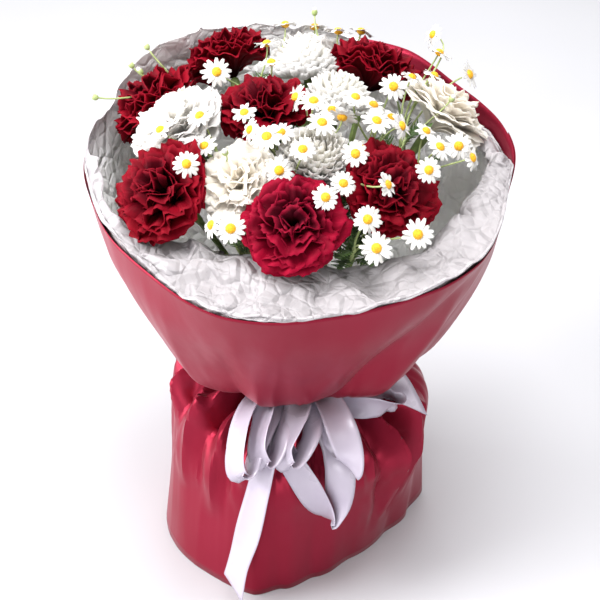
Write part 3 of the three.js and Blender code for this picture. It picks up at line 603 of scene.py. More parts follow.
@dataclass(frozen=True)
class PaperForm:
    """The form of the paper: a skirt, a gathered neck and a flared collar."""

    rim_height: float = 345
    rim_slope: float = 0.176
    neck_top: float = 173
    neck_bottom: float = 155
    neck_radius: float = 26
    columns: int = 28
    rim_radii: tuple[tuple[float, float], ...] = (
        (8, 166), (38, 158), (62, 167), (100, 165), (140, 163), (172, 166),
        (200, 158), (222, 155), (252, 163), (288, 155), (322, 164), (348, 158),
    )
    hem_radii: tuple[tuple[float, float], ...] = (
        (13, 110), (45, 112), (80, 113), (120, 112), (160, 113), (198, 117),
        (233, 114), (250, 116), (262, 103), (278, 89), (303, 78), (332, 79), (354, 92),
    )
    rim_lifts: tuple[tuple[float, float], ...] = ((0, 3), (20, 7), (50, 7), (70, 5), (92, 0), (340, 0))
    fold_depths: tuple[float, ...] = (0.5, 1.5, 2.2, 2.6, 2.0, 0.6, 0.6, 1.5, 1.9, 1.8, 1.4, 0.6)
    gather_depths: tuple[float, ...] = (0.0, 0.1, 0.5, 1.2, 1.4, 0.8, 0.8, 0.8, 0.3, 0.0, 0.0, 0.0)

    def line(self, angle: float) -> list[Vector]:
        """The paper's line from hem to rim, as points of radius and height."""
        front, left = max(0.0, -sin(radians(angle))), max(0.0, -cos(radians(angle)))
        hem = round_value(self.hem_radii, angle)
        rim = round_value(self.rim_radii, angle)
        tilt = self.rim_slope * rim * sin(radians(angle))
        rim_height = self.rim_height + tilt + round_value(self.rim_lifts, angle)
        swell = cos(radians(angle * 7))
        stations = (
            (hem, 0.5),
            (mix(104, hem, 0.45) + 1.5 * swell, 70),
            (104 + 2 * swell, 128 + 28 * left - 22 * front),
            (87, 152 + 17 * left - 22 * front),
            (54, 158 + 8 * left - 12 * front),
            (self.neck_radius, self.neck_bottom),
            (self.neck_radius, self.neck_top),
            (66, 179),
            (99 - 4 * front, 190),
            (mix(131, 117, front), mix(184, rim_height, 0.35)),
            (mix(151, 141, front), mix(184, rim_height, 0.68)),
            (rim, rim_height),
        )
        return [Vector((radius, height, 0.0)) for radius, height in stations]

    def folds(self, angle: float, station: float) -> float:
        """How far the paper stands out at a place, from its soft folds and sharp gathers."""
        x, y = cos(radians(angle)), sin(radians(angle))
        k = min(int(station), len(self.fold_depths) - 2)
        deep = mix(self.fold_depths[k], self.fold_depths[k + 1], station - k)
        fine = mix(self.gather_depths[k], self.gather_depths[k + 1], station - k)
        soft = noise.noise(Vector((x * 2.6, y * 2.6, 3.1 + station * 0.3)))
        sharp = 1 - 3.2 * abs(noise.noise(Vector((x * 4.5, y * 4.5, 9.4 + station * 0.22))))
        gather = 1 - 3.2 * abs(noise.noise(Vector((x * 15, y * 15, 5.2 + station * 0.1))))
        creased = sum(crease.depth_at(angle % 360, station) for crease in CREASES)
        crushed = sum(crush.depth_at(angle % 360, station) for crush in CRUSHES)
        return deep * (1.2 * soft + 0.4 * sharp) + fine * gather + creased + crushed

    def point(self, line: Sequence[Vector], angle: float, share: float, outwards: float) -> Vector:
        """A point of a sheet.

        Args:
            line: the sheet's line at this angle.
            angle: the plan angle, in degrees.
            share: how far along the line.
            outwards: distance from the line, square to it.

        Returns:
            The point.
        """
        here = spline(line, share)
        onward = (spline(line, min(share + 0.004, 1.0)) - spline(line, max(share - 0.004, 0.0))).normalized()
        outward = Vector((onward.y, -onward.x))
        return polar(here.x + outward.x * outwards, angle, here.y + outward.y * outwards)


PAPER = PaperForm()


@dataclass(frozen=True)
class Crease:
    """A sharp ridge or valley in the paper, which runs along it and may lean.

    A station is a numbered point of the paper's line: 0 is the hem, 5 and 6 the neck and 11 the rim.
    """

    angle: float
    reach: float
    start: float
    end: float
    depth: float
    lean: float = 0.0

    def depth_at(self, angle: float, station: float) -> float:
        """How far the crease stands out (or in, below 0) at a plan angle and a station."""
        if not self.start < station < self.end:
            return 0.0
        share = (station - self.start) / (self.end - self.start)
        away = abs(angle - self.angle - self.lean * (station - self.start)) / self.reach
        return self.depth * (1 - away) ** 1.3 * sin(pi * share ** 0.8) if away < 1 else 0.0


@dataclass(frozen=True)
class Crush:
    """A patch where the paper is crushed into sharp little facets."""

    angle: float
    reach: float
    start: float
    end: float
    depth: float

    def depth_at(self, angle: float, station: float) -> float:
        """How far the facets stand out at a plan angle and a station."""
        away = abs(angle - self.angle) / self.reach
        if away >= 1 or not self.start < station < self.end:
            return 0.0
        share = sin(pi * (station - self.start) / (self.end - self.start)) * (1 - away * away)
        slanted = station * 0.8 + angle * 0.045
        facet = abs(noise.noise(Vector((angle * 0.07, slanted, 4.4)))) * 2
        facet += abs(noise.noise(Vector((angle * 0.15, slanted * 2.1, 8.1)))) * 0.5
        return self.depth * share ** 0.6 * (0.8 - 1.6 * facet)


CRUSHES = (
    Crush(216, 34, 1.2, 4.8, 7), Crush(326, 26, 0.5, 4.8, 7), Crush(268, 30, 1.5, 4.6, 3),
    Crush(60, 50, 1.2, 4.6, 4), Crush(140, 45, 1.2, 4.6, 4),
)

CREASES = (
    Crease(196, 7, 1.3, 4.6, 7), Crease(204, 6, 1.5, 4.7, -10), Crease(211, 7, 1.1, 4.7, 12, 2),
    Crease(220, 6, 1.3, 4.7, -12, 1), Crease(228, 7, 0.9, 4.7, 11, 2), Crease(237, 6, 1.4, 4.7, -10, 1),
    Crease(245, 6, 1.6, 4.7, 7, 1),
    Crease(256, 16, 0.0, 3.2, 3), Crease(283, 14, 0.3, 4.0, -3, -2), Crease(303, 7, 1.2, 4.6, -4, -2),
    Crease(314, 6, 0.4, 4.5, -10, -2), Crease(322, 5, 0.5, 4.5, 12, -2), Crease(330, 6, 0.4, 4.5, -13, -1),
    Crease(337, 5, 0.6, 4.5, 10, -1),
    Crease(343, 7, 0.4, 4.6, 5), Crease(30, 12, 0.5, 4.5, -4), Crease(75, 14, 0.3, 4.5, 4, 3),
    Crease(112, 12, 0.5, 4.5, -4, -2), Crease(150, 14, 0.4, 4.5, 4, 2), Crease(175, 10, 0.6, 4.5, -4),
    Crease(193, 12, 6.8, 10.2, -4, 3), Crease(214, 12, 6.8, 11.0, 4, 4), Crease(238, 11, 6.8, 9.8, -5, 2),
    Crease(252, 9, 6.8, 9.4, 2), Crease(264, 8, 6.8, 9.0, -2, 3), Crease(276, 17, 7.1, 10.9, -10, 13),
    Crease(300, 9, 6.8, 9.6, 4, 8), Crease(327, 11, 6.8, 10.4, -5, 2), Crease(345, 10, 6.8, 10.6, 4),
    Crease(20, 13, 6.8, 10.4, -5, 3), Crease(55, 14, 6.8, 10.8, 4, -3), Crease(88, 13, 6.8, 10.2, -5, 2),
    Crease(120, 14, 6.8, 10.6, 4, 3), Crease(158, 13, 6.8, 10.4, -4, -2),
)


class Side(Enum):
    """Which half of the bunch a sheet of paper goes round, as the number of the column where it starts."""

    FRONT = 13
    BACK = -1


@dataclass
class WrapSheet:
    """One sheet of satin paper, from the skirt's hem to the collar's rim."""

    name: str
    side: Side
    outwards: float
    columns: int = 190
    rows: int = 110
    overlap: int = 2

    def build(self) -> bpy.types.Object:
        """Makes the sheet."""
        surface = Surface()
        step = 360 / PAPER.columns
        start, reach = self.side.value * step, (PAPER.columns / 2 + self.overlap) * step
        lines: dict[float, list[Vector]] = {}

        def place(across: float, along: float) -> Vector:
            """The sheet's point."""
            angle = start + (across + 1) / 2 * reach
            if angle not in lines:
                lines[angle] = PAPER.line(angle)
            line = lines[angle]
            out = self.outwards + PAPER.folds(angle, along * (len(line) - 1))
            point = PAPER.point(line, angle, along, out)
            point.z = max(point.z, 0.3)
            return point

        surface.sheet(self.columns, self.rows, place)
        return surface.finish(f"{self.name}_paper", [SATIN_PAPER], self.name, "satin_paper", 0.35, 24)


@dataclass
class TissueSheet:
    """One sheet of crumpled tissue inside the collar, folded in at the front and standing up behind.

    A sheet with a lap starts as a point on the rim and lies over the other sheet's end.
    """

    name: str
    start: float
    reach: float
    inwards: float
    columns: int
    lap: float = 0.0
    rows: int = 120
    crumples: ClassVar[tuple[tuple[float, float], ...]] = ((46, 13), (21, 6))
    folds: ClassVar[tuple[tuple[float, float], ...]] = (
        (12, 9), (100, 2), (172, 2), (200, 4), (214, 10), (230, 46),
        (248, 58), (270, 54), (300, 45), (322, 32), (346, 16),
    )
    rises: ClassVar[tuple[tuple[float, float], ...]] = (
        (12, -17), (32, -20), (62, -16), (86, 4), (104, 9), (132, 28), (160, 9), (200, 4), (225, 6), (246, 8),
        (268, -2), (300, -1), (330, 2), (354, 0),
    )

    def line(self, angle: float) -> list[Vector]:
        """The tissue's line from the neck to its edge."""
        fold, rise = round_value(self.folds, angle), round_value(self.rises, angle)
        sunk, edge, upright = min(0.0, rise), max(0.0, rise), 1 - min(1.0, fold / 30)
        past = angle - self.start
        full = min(1.0, past / self.lap) if self.lap else 1.0
        over = 9 * min(1.0, past / 8) * clamp(1.8 - past / self.lap) if self.lap else 0.0
        under = 0.0 if self.lap else 5 * clamp((angle - 226) / 12)
        line = PAPER.line(angle)[5:]
        rim = line[-1]
        rim.x, rim.y = rim.x + 0.3 * sunk, rim.y + sunk
        bulge = 2.2 * clamp(min(angle % 360 - 212, 352 - angle % 360) / 12)
        line.append(Vector((rim.x + bulge - 0.04 * fold, rim.y + 3.5 + 0.35 * edge, 0)))
        lift = rim.y + over - under
        line.append(Vector((rim.x - 0.46 * fold * full, lift + 4 + 0.6 * edge + 4 * upright, 0)))
        line.append(Vector((rim.x - fold * full, lift + 3 + edge + 6 * upright, 0)))
        line.append(Vector((rim.x - mix(1.2, 1.52, full) * fold * full,
                            rim.y + mix(3, -11, full * full) + edge + 22 * upright + over, 0)))
        return line

    def crumple(self, point: Vector) -> Vector:
        """How far crumpling moves a point, with sharp creases between flat facets."""
        shift = Vector()
        for size, depth in self.crumples:
            spot = point / size + Vector((0, 0, self.inwards))
            distances, seeds = noise.voronoi(spot)
            heading = noise.cell_vector(seeds[0] * 53) - Vector((0.5, 0.5, 0.5))
            shift += heading * (distances[1] - distances[0]) * depth * 2
        return shift

    def build(self) -> bpy.types.Object:
        """Makes the sheet."""
        surface = Surface()
        lines: dict[float, list[Vector]] = {}

        def place(across: float, along: float) -> Vector:
            """The sheet's point."""
            angle = self.start + (across + 1) / 2 * self.reach
            if angle not in lines:
                lines[angle] = self.line(angle)
            line = lines[angle]
            station = along * (len(line) - 1)
            loose = min(1.0, station / 1.5)
            close = mix(self.inwards, 0.3 * self.inwards, clamp((station - 4) / 1.6))
            out = -close * (0.45 + 0.55 * loose) + PAPER.folds(angle, min(11, 5 + station))
            point = PAPER.point(line, angle, along, out)
            free = clamp(station - 6.3)
            shift = self.crumple(point) * loose * mix(0.8, 1.3, free)
            outward = Vector((point.x, point.y, 0)).normalized()
            pushed, at_rim = shift.dot(outward), clamp(1.7 - abs(station - 5.9) * 1.3)
            held = mix(1.0, 0.5, free) * max(0.0, pushed) + at_rim * min(0.0, pushed)
            return point + shift - outward * held

        surface.sheet(self.columns, self.rows, place)
        return surface.finish(f"{self.name}_sheet", [TISSUE], self.name, "tissue", 0.25, 13)


# ---------------------------------------------------------------- blooms


class Kind(Enum):
    """The kinds of bloom."""

    CARNATION = "carnation"
    CHRYSANTHEMUM = "chrysanthemum"


@dataclass
class Bloom:
    """A bloom in its place, pressed by its neighbours and by the tissue."""

    name: str
    kind: Kind
    finish: PetalFinish
    centre: tuple[float, float, float]
    radius: float
    ruffle: float = 1.0
    petals: int = 44
    focus: ClassVar[Vector] = Vector((0, 0, 225))
    throat: ClassVar[float] = 0.42
    wall_radius: ClassVar[float] = 150
    wall_slant: ClassVar[float] = 0.36
    limits: list[tuple[Vector, float]] = field(default_factory=list)

    def __post_init__(self) -> None:
        """Works out where the bloom faces."""
        self.middle = Vector(self.centre)
        self.axis = (self.middle - self.focus).normalized()
        self.turn = UP.rotation_difference(self.axis)
        self.random = Random(self.name)

    def press_between(self, others: Sequence["Bloom"]) -> None:
        """Notes how far the bloom may reach towards its neighbours and the tissue."""
        for other in others:
            if other is not self:
                towards = other.middle - self.middle
                share = self.radius / (self.radius + other.radius)
                self.limits.append((towards.normalized(), towards.length * share + 3.5))
        outward = Vector((self.middle.x, self.middle.y, 0)).normalized()
        wall = outward * self.wall_radius
        wall.z = PAPER.rim_height + PAPER.rim_slope * wall.y
        slanted = (outward - UP * self.wall_slant).normalized()
        self.limits.append((slanted, (wall - self.middle).dot(slanted)))

    def settle(self, local: Vector, azimuth: float) -> Vector:
        """The place of a petal's point, once it is turned to its azimuth and its neighbours press on it."""
        local.rotate(Euler((0, 0, radians(azimuth))))
        point = self.turn @ local
        for towards, reach in self.limits:
            far, free = point.dot(towards), reach * 0.72
            if far > free:
                point += towards * (free + (reach - free) * tanh((far - free) / (reach - free)) - far)
        return point + self.middle

    def build(self) -> bpy.types.Object:
        """Makes the bloom."""
        surface = Surface()
        petal = self.ruffled_petal if self.kind is Kind.CARNATION else self.scoop_petal
        for index in range(self.petals):
            petal(surface, index, index / (self.petals - 1))
        return surface.finish(f"{self.name}_petals", [self.finish], self.name, self.finish.slot, 0.4)

    def ruffled_petal(self, surface: Surface, index: int, share: float) -> None:
        """Adds a fan-shaped petal that flares outwards, with a ruffled, toothed margin."""
        random, size = self.random, self.radius
        columns, rows = 20, 10
        azimuth = index * GOLDEN_ANGLE + 24 * (random.random() - 0.5)
        lean = radians(mix(4, 99, share ** 0.74) + 13 * (random.random() - 0.5))
        flare = min(radians(116), lean + radians(mix(46, 24, share)) * random.uniform(0.5, 1.3))
        reach = size * (0.1 + 1.0 * sin(lean)) * random.uniform(0.86, 1.06)
        lift = size * (0.66 * cos(lean) - 0.02) + size * 0.12 * (random.random() - 0.5)
        base, tip = Vector((0.05 * size, -self.throat * size)), Vector((reach, lift))
        low = base + Vector((0.16 * reach, 0.45 * (lift - base.y) + 0.1 * size))
        high = tip - Vector((sin(flare), cos(flare))) * 0.36 * size
        width = size * mix(0.36, 0.7, share) * random.uniform(0.84, 1.14)
        curl = size * (0.14 + 0.5 * share)
        swing = mix(1.6, 1.3, share) * random.uniform(0.75, 1.25)
        phases = [random.random() * 2 * pi for _ in range(3)]
        depth = size * mix(0.19, 0.15, share) * self.ruffle
        teeth = [size * (random.uniform(-0.03, 0.015) + (0.013 if k % 2 else -0.01))
                 for k in range(columns + 1)]

        def place(across: float, along: float) -> Vector:
            """The petal's point."""
            t = along * (1 - 0.2 * across * across)
            s = 1 - t
            here = bezier(base, low, high, tip, t)
            onward = ((low - base) * s * s + (high - low) * 2 * t * s + (tip - high) * t * t).normalized()
            half = width * (0.1 + 0.9 * sin(pi / 2 * min(1.0, t * 1.05)) ** 1.5)
            angle = across * half / (here.x + curl)
            wave = (sin(swing * pi * across + phases[0] + 1.2 * along) * 0.7
                    + sin(swing * 2.3 * pi * across + phases[1] + along) * 0.38
                    + sin(swing * 4.7 * pi * across + phases[2]) * 0.1)
            out = depth * along ** 1.6 * wave
            if along > 0.999:
                here = here + onward * teeth[round((across + 1) / 2 * columns)]
            radial = (here.x + curl) * cos(angle) - curl - onward.y * out
            local = Vector((radial, (here.x + curl) * sin(angle), here.y + onward.x * out))
            return self.settle(local, azimuth)

        surface.sheet(columns, rows, place, tint=random.random(), inner=1 - share)

    def scoop_petal(self, surface: Surface, index: int, share: float) -> None:
        """Adds a narrow round-tipped petal, hollow like a scoop."""
        random, size = self.random, self.radius
        azimuth = index * GOLDEN_ANGLE + 8 * (random.random() - 0.5)
        lean = acos(1 - share * 1.25)
        reach = size * (0.05 + 0.95 * sin(lean)) * random.uniform(0.93, 1.05)
        lift = size * (0.86 * cos(lean) - 0.06) + size * 0.05 * (random.random() - 0.5)
        root = Vector((reach * 0.35, mix(-0.3 * size, lift, 0.35)))
        tip = Vector((reach, lift))
        width = size * mix(0.1, 0.16, min(1.0, share * 2))
        inward = Vector((-(tip - root).y, (tip - root).x)).normalized()

        def place(across: float, along: float) -> Vector:
            """The petal's point."""
            round_tip = along * (1 - 0.16 * across * across)
            here = root.lerp(tip, round_tip)
            half = width * sin(pi * (0.2 + 0.58 * along)) ** 0.5
            hollow = half * 0.42 * across * across + size * 0.12 * along ** 3 - size * 0.05 * sin(pi * along)
            here = here + inward * hollow
            local = Vector((here.x, across * half, here.y))
            return self.settle(local, azimuth)

        surface.sheet(4, 5, place, tint=random.random(), inner=1 - share)


CARNATION, CHRYSANTHEMUM = Kind.CARNATION, Kind.CHRYSANTHEMUM
BLOOMS = (
    Bloom("carnation_red_back_left", CARNATION, RED_PETAL, (-58, 114, 380), 34),
    Bloom("carnation_red_far_left", CARNATION, RED_PETAL, (-114, 63, 363), 38),
    Bloom("carnation_red_back_right", CARNATION, RED_PETAL, (57, 100, 375), 37),
    Bloom("carnation_red_middle", CARNATION, RED_PETAL, (-28, 10, 389), 36),
    Bloom("carnation_red_front_left", CARNATION, RED_PETAL, (-98, -57, 357), 41),
    Bloom("carnation_red_front", CARNATION, BRIGHT_RED_PETAL, (-4, -96, 355), 38, 0.9),
    Bloom("carnation_red_front_right", CARNATION, RED_PETAL, (63, -61, 362), 37),
    Bloom("carnation_white_left", CARNATION, WHITE_PETAL, (-90, 4, 377), 38, 0.62, 56),
    Bloom("carnation_cream_front", CARNATION, CREAM_PETAL, (-44, -58, 368), 32, 0.85, 48),
    Bloom("carnation_cream_right", CARNATION, CREAM_PETAL, (111, 47, 367), 37, 0.42, 40),
    Bloom("carnation_white_back", CARNATION, WHITE_PETAL, (8, 122, 381), 25, 0.8, 40),
    Bloom("chrysanthemum_back", CHRYSANTHEMUM, POMPON_PETAL, (2, 82, 390), 29, petals=150),
    Bloom("chrysanthemum_middle", CHRYSANTHEMUM, POMPON_PETAL, (29, 30, 390), 27, petals=140),
    Bloom("chrysanthemum_front", CHRYSANTHEMUM, POMPON_PETAL, (11, -42, 378), 30, petals=150),
)


@dataclass
class BloomStem:
    """A stem with its calyx and any leaf, rounded from the solid that it stands for."""

    bloom: Bloom
    levels: int = 2

    def build(self) -> bpy.types.Object:
        """Makes the stem."""
        node = f"{self.bloom.name}_stem"
        surface = Surface()
        surface.mesh.from_mesh(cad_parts[node].data)
        bmesh.ops.remove_doubles(surface.mesh, verts=surface.mesh.verts, dist=1e-6)
        for vert in surface.mesh.verts:
            vert.co = vert.co / MM - TIE_AXIS
        for face in surface.mesh.faces:
            face.material_index = 0
        piece = surface.finish(f"{node}_round", [STEM_GREEN], node, "stem")
        smooth = piece.modifiers.new("round", "SUBSURF")
        smooth.levels = smooth.render_levels = self.levels
        return piece


# ---------------------------------------------------------------- chamomile


class Facing(Enum):
    """Which way a chamomile head faces. HIGH, BUD and OUT follow the dome of the bunch.

    BUD and OUT are closed buds, and OUT leans out over the rim.
    """

    FRONT = "front"
    BACK = "back"
    LEFT = "left"
    RIGHT = "right"
    HIGH = "high"
    BUD = "bud"
    OUT = "out"

    @property
    def closed(self) -> bool:
        """Whether it is a bud."""
        return self in (Facing.BUD, Facing.OUT)

    def towards(self, place: Vector) -> Vector:
        """The direction of a head at a place."""
        if self in DOME_DEPTHS:
            return (place - Vector((0, DOME_BACK, place.z - DOME_DEPTHS[self]))).normalized()
        return Vector(FACING_DIRECTIONS[self]).normalized()


FACING_DIRECTIONS = {
    Facing.FRONT: (0.1, -0.75, 0.65), Facing.BACK: (0.1, 0.8, 0.45),
    Facing.LEFT: (-0.8, -0.3, 0.5), Facing.RIGHT: (0.8, -0.3, 0.5),
}
DOME_DEPTHS = {Facing.HIGH: 180, Facing.BUD: 180, Facing.OUT: 20}
DOME_BACK = 20


@dataclass
class Head:
    """A chamomile head or bud on its stalk."""

    place: tuple[float, float, float]
    facing: Facing
    radius: float = 11.5
    disc_radius: float = 3.9
    steps: int = 12

    def build(self, surface: Surface, root: Vector, random: Random) -> None:
        """Adds the head and its stalk to a spray.

        Args:
            surface: the spray's mesh, with the finishes ray, disc and stalk.
            root: where the stalk leaves the stem.
            random: the spray's source of numbers.
        """
        place = Vector(self.place)
        facing = self.facing.towards(place)
        grown = random.uniform(0.78, 1.04)
        turn = UP.rotation_difference(facing)
        length = (place - root).length
        sway = Vector((random.random() - 0.5, random.random() - 0.5, 0)) * 0.5
        first = root + (UP * 0.8 + sway) * length * 0.38
        second = place - facing * length * 0.34
        end = place - facing * 1.2
        path = [bezier(root, first, second, end, k / self.steps) for k in range(self.steps + 1)]
        surface.tube(path, lambda share: mix(0.95, 0.65, share), 6, 2)
        if self.facing.closed:
            surface.ball(place - facing * 0.6, turn, (2.5, 2.5, 3.0), 2)
            surface.ball(place + facing * 1.2, turn, (2.0, 2.0, 2.6), 0)
            return
        disc = self.disc_radius * mix(1.0, grown, 0.5)
        surface.ball(place + facing * 0.3, turn, (disc, disc, 3.0), 1, 8)
        surface.ball(place - facing * 0.9, turn, (3.0, 3.0, 1.5), 2)
        rays = 13 + int(random.random() * 3)
        start = random.random() * 360
        for k in range(rays):
            azimuth = start + k * 360 / rays + 9 * (random.random() - 0.5)
            self.ray(surface, place, turn, azimuth, grown, random)

    def ray(
        self, surface: Surface, middle: Vector, turn: Quaternion, azimuth: float, grown: float,
        random: Random,
    ) -> None:
        """Adds a white ray with a notched tip."""
        length = (self.radius * grown - self.disc_radius + 1.6) * random.uniform(0.84, 1.06)
        droop = random.uniform(-1.0, 2.6)
        twist = 0.7 * (random.random() - 0.5)

        def place(across: float, along: float) -> Vector:
            """The ray's point."""
            half = 1.8 * sin(pi * (0.16 + 0.62 * along)) ** 0.7
            tip = 0.09 * (1 - abs(abs(across) - 0.5) * 2) if along > 0.99 else 0.0
            out = self.disc_radius - 1.6 + length * (along - 0.1 * along * across * across + tip)
            height = 0.5 + 0.35 * across * across - droop * along * along + twist * across * along * 2
            local = polar(out, azimuth, height) + polar(across * half, azimuth + 90, 0)
            return middle + turn @ local

        surface.sheet(4, 4, place, tint=random.random(), slot=0, thickness=0.25)


@dataclass
class Spray:
    """A stem of chamomile that parts into stalks."""

    name: str
    fork: tuple[float, float, float]
    heads: tuple[Head, ...]
    stem_radius: float = 1.5
    leaves: int = 6

    def lower_points(self) -> list[Vector]:
        """The stem's bends below the fork, from the middles of its solid's rings of corners."""
        corners = [v.co / MM - TIE_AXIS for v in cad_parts[self.name].data.vertices]
        points = []
        for low, high in ((210, self.fork[2] - 45), (174, 176), (154, 156), (104, 106), (-0.1, 0.1)):
            ring = [corner for corner in corners if low < corner.z < high]
            if ring:
                points.append(sum(ring, Vector()) / len(ring))
        return points

    def build(self) -> bpy.types.Object:
        """Makes the spray."""
        surface = Surface()
        random = Random(self.name)
        points = [Vector(self.fork), *self.lower_points()]
        steps = 24
        path = [spline(points, k / steps) for k in range(steps + 1)]
        surface.tube(path, lambda share: self.stem_radius, 8, 2)
        down = (path[1] - path[0]).normalized()
        for order, head in enumerate(self.heads):
            head.build(surface, path[0] + down * (1 + 4 * order), random)
        for _ in range(self.leaves):
            self.leaf(surface, path[0] + down * 26 * random.random(), random)
        finishes = [CHAMOMILE_RAY, CHAMOMILE_DISC, STALK_GREEN, LEAF_GREEN]
        return surface.finish(f"{self.name}_spray", finishes, self.name, "chamomile")

    def leaf(self, surface: Surface, root: Vector, random: Random) -> None:
        """Adds a feathery leaf: an arched rib with thin lobes on both sides."""
        heading = (polar(1, 360 * random.random(), 0.2 + 0.9 * random.random())).normalized()
        side = heading.cross(UP).normalized()
        length = random.uniform(18, 30)

        def rib(share: float) -> Vector:
            """A point of the rib."""
            return root + heading * length * share + UP * length * 0.5 * share * (1 - share)

        def blade(start: Vector, end: Vector, half: float) -> None:
            """Adds a thin blade."""
            across_blade = (end - start).cross(UP).normalized()
            surface.sheet(1, 3, lambda across, along: start.lerp(end, along)
                          + across_blade * across * half * (1 - 0.8 * along), slot=3, thickness=0.2)

        blade(root, rib(0.5), 1.0)
        blade(rib(0.5), rib(1.0), 0.9)
        for k in range(1, 7):
            share = 0.12 + 0.13 * k
            spread = length * 0.26 * sin(pi * share) ** 0.5
            for hand in (-1, 1):
                rise = UP * (random.random() - 0.3) * 3
                blade(rib(share), rib(share) + side * hand * spread + heading * spread * 0.8 + rise, 1.3)


FRONT, BACK, LEFT, RIGHT = Facing.FRONT, Facing.BACK, Facing.LEFT, Facing.RIGHT
HIGH, BUD, OUT = Facing.HIGH, Facing.BUD, Facing.OUT
SPRAYS = (
    Spray("chamomile_far_left", (-92, 92, 352), (
        Head((-160, 44, 384), OUT), Head((-133, 72, 398), BUD), Head((-122, 92, 404), BUD),
        Head((-127, 80, 388), BUD))),
    Spray("chamomile_back_left", (-38, 62, 370), (
        Head((-64, 40, 408), FRONT), Head((-26, 78, 413), HIGH), Head((-22, 42, 415), HIGH),
        Head((-12, 128, 405), HIGH))),
    Spray("chamomile_left", (-62, -24, 362), (
        Head((-91, 38, 390), HIGH), Head((-74, -22, 404), HIGH), Head((-103, -29, 396), HIGH))),
    Spray("chamomile_left_front", (-70, -34, 356), (
        Head((-70, -44, 391), HIGH), Head((-82, -68, 390), FRONT), Head((-54, -65, 398), BUD))),
    Spray("chamomile_middle_left", (-16, -26, 368), (
        Head((-41, -23, 407), HIGH), Head((-36, -43, 404), LEFT), Head((-24, -60, 408), HIGH),
        Head((-14, -40, 400), HIGH))),
    Spray("chamomile_back", (32, 98, 372), (
        Head((12, 146, 394), HIGH), Head((31, 122, 402), HIGH), Head((50, 136, 395), HIGH),
        Head((12, 144, 409), BUD))),
    Spray("chamomile_middle", (6, -8, 374), (
        Head((10, -25, 418), HIGH), Head((-3, -8, 412), LEFT), Head((16, -45, 411), HIGH),
        Head((24, -10, 402), HIGH), Head((31, -30, 407), BACK))),
    Spray("chamomile_right", (60, 0, 354), (
        Head((41, -12, 414), HIGH), Head((55, -2, 402), HIGH), Head((56, -35, 407), HIGH),
        Head((69, 4, 388), HIGH), Head((75, -23, 396), RIGHT), Head((71, 22, 405), FRONT))),
    Spray("chamomile_back_right", (82, 20, 362), (
        Head((107, 110, 405), LEFT), Head((111, 94, 397), HIGH), Head((106, 72, 388), HIGH),
        Head((86, 42, 402), HIGH), Head((134, 78, 386), RIGHT), Head((116, 20, 396), BUD))),
    Spray("chamomile_far_right", (88, -26, 354), (
        Head((94, -17, 388), HIGH), Head((103, -37, 386), HIGH), Head((119, -18, 376), FRONT),
        Head((127, -39, 378), RIGHT), Head((93, -70, 386), FRONT))),
    Spray("chamomile_front_middle", (-12, -72, 350), (
        Head((2, -68, 402), HIGH), Head((-15, -74, 388), FRONT))),
    Spray("chamomile_front", (28, -76, 350), (
        Head((18, -104, 384), FRONT), Head((31, -84, 383), HIGH))),
    Spray("chamomile_middle_right", (40, -36, 358), (
        Head((46, -40, 386), HIGH), Head((40, -62, 395), FRONT), Head((62, -92, 387), RIGHT))),
    Spray("chamomile_front_left", (-48, -90, 338), (
        Head((-49, -117, 366), FRONT), Head((-63, -103, 360), LEFT))),
    Spray("chamomile_front_right", (40, -96, 334), (
        Head((48, -108, 368), FRONT), Head((54, -124, 354), FRONT), Head((84, -109, 356), FRONT)), leaves=14),
)


# ---------------------------------------------------------------- ribbon and tie


class RibbonEnd(Enum):
    """How a length of ribbon ends."""

    LOOP = "loop"
    TAIL = "tail"


@dataclass
class RibbonLength:
    """One loop or tail of the ribbon, gathered where it enters the knot."""

    name: str
    end: RibbonEnd
    line: tuple[tuple[float, float, float], ...]
    widths: tuple[tuple[float, float, float], ...]
    width: float = 25
    slant: float = 0.0
    skew: float = 0.0

    def build(self) -> bpy.types.Object:
        """Makes the loop or tail and hides the solid that it was cut from."""
        surface = Surface()
        line = [Vector(p) for p in self.line]
        widths = [Vector(p) for p in self.widths]

        def place(across: float, along: float) -> Vector:
            """The ribbon's point."""
            share = along
            if self.end is RibbonEnd.TAIL:
                share = min(1.0, along * (1 + self.slant * across * along / 2) / (1 + abs(self.slant) / 2))
            here = spline(line, share)
            ahead, behind = spline(line, min(1.0, share + 0.01)), spline(line, max(0.0, share - 0.01))
            onward = (ahead - behind).normalized()
            side = spline(widths, share)
            side = (side - onward * side.dot(onward) * (1 - self.skew)).normalized()
            near = share if self.end is RibbonEnd.TAIL else min(share, 1 - share)
            curl = mix(4.6, 0.7 if self.end is RibbonEnd.LOOP else 0.35, min(1.0, near * 3.4))
            radius = self.width / curl
            angle = across * curl / 2
            flat = side * radius * sin(angle) + side.cross(onward) * radius * (cos(angle) - 1)
            return here + flat

        surface.sheet(8, 56, place)
        for vert in surface.mesh.verts:
            vert[surface.layers["along"]] *= self.length()
        piece = surface.finish(self.name, [SATIN_RIBBON], "satin_ribbon", "satin_ribbon", 0.3)
        self.length()
        return piece

    def length(self) -> float:
        """The cut length, in metres."""
        line = [Vector(p) for p in self.line]
        steps = 80
        points = [spline(line, k / steps) for k in range(steps + 1)]
        return sum((b - a).length for a, b in zip(points, points[1:])) * MM


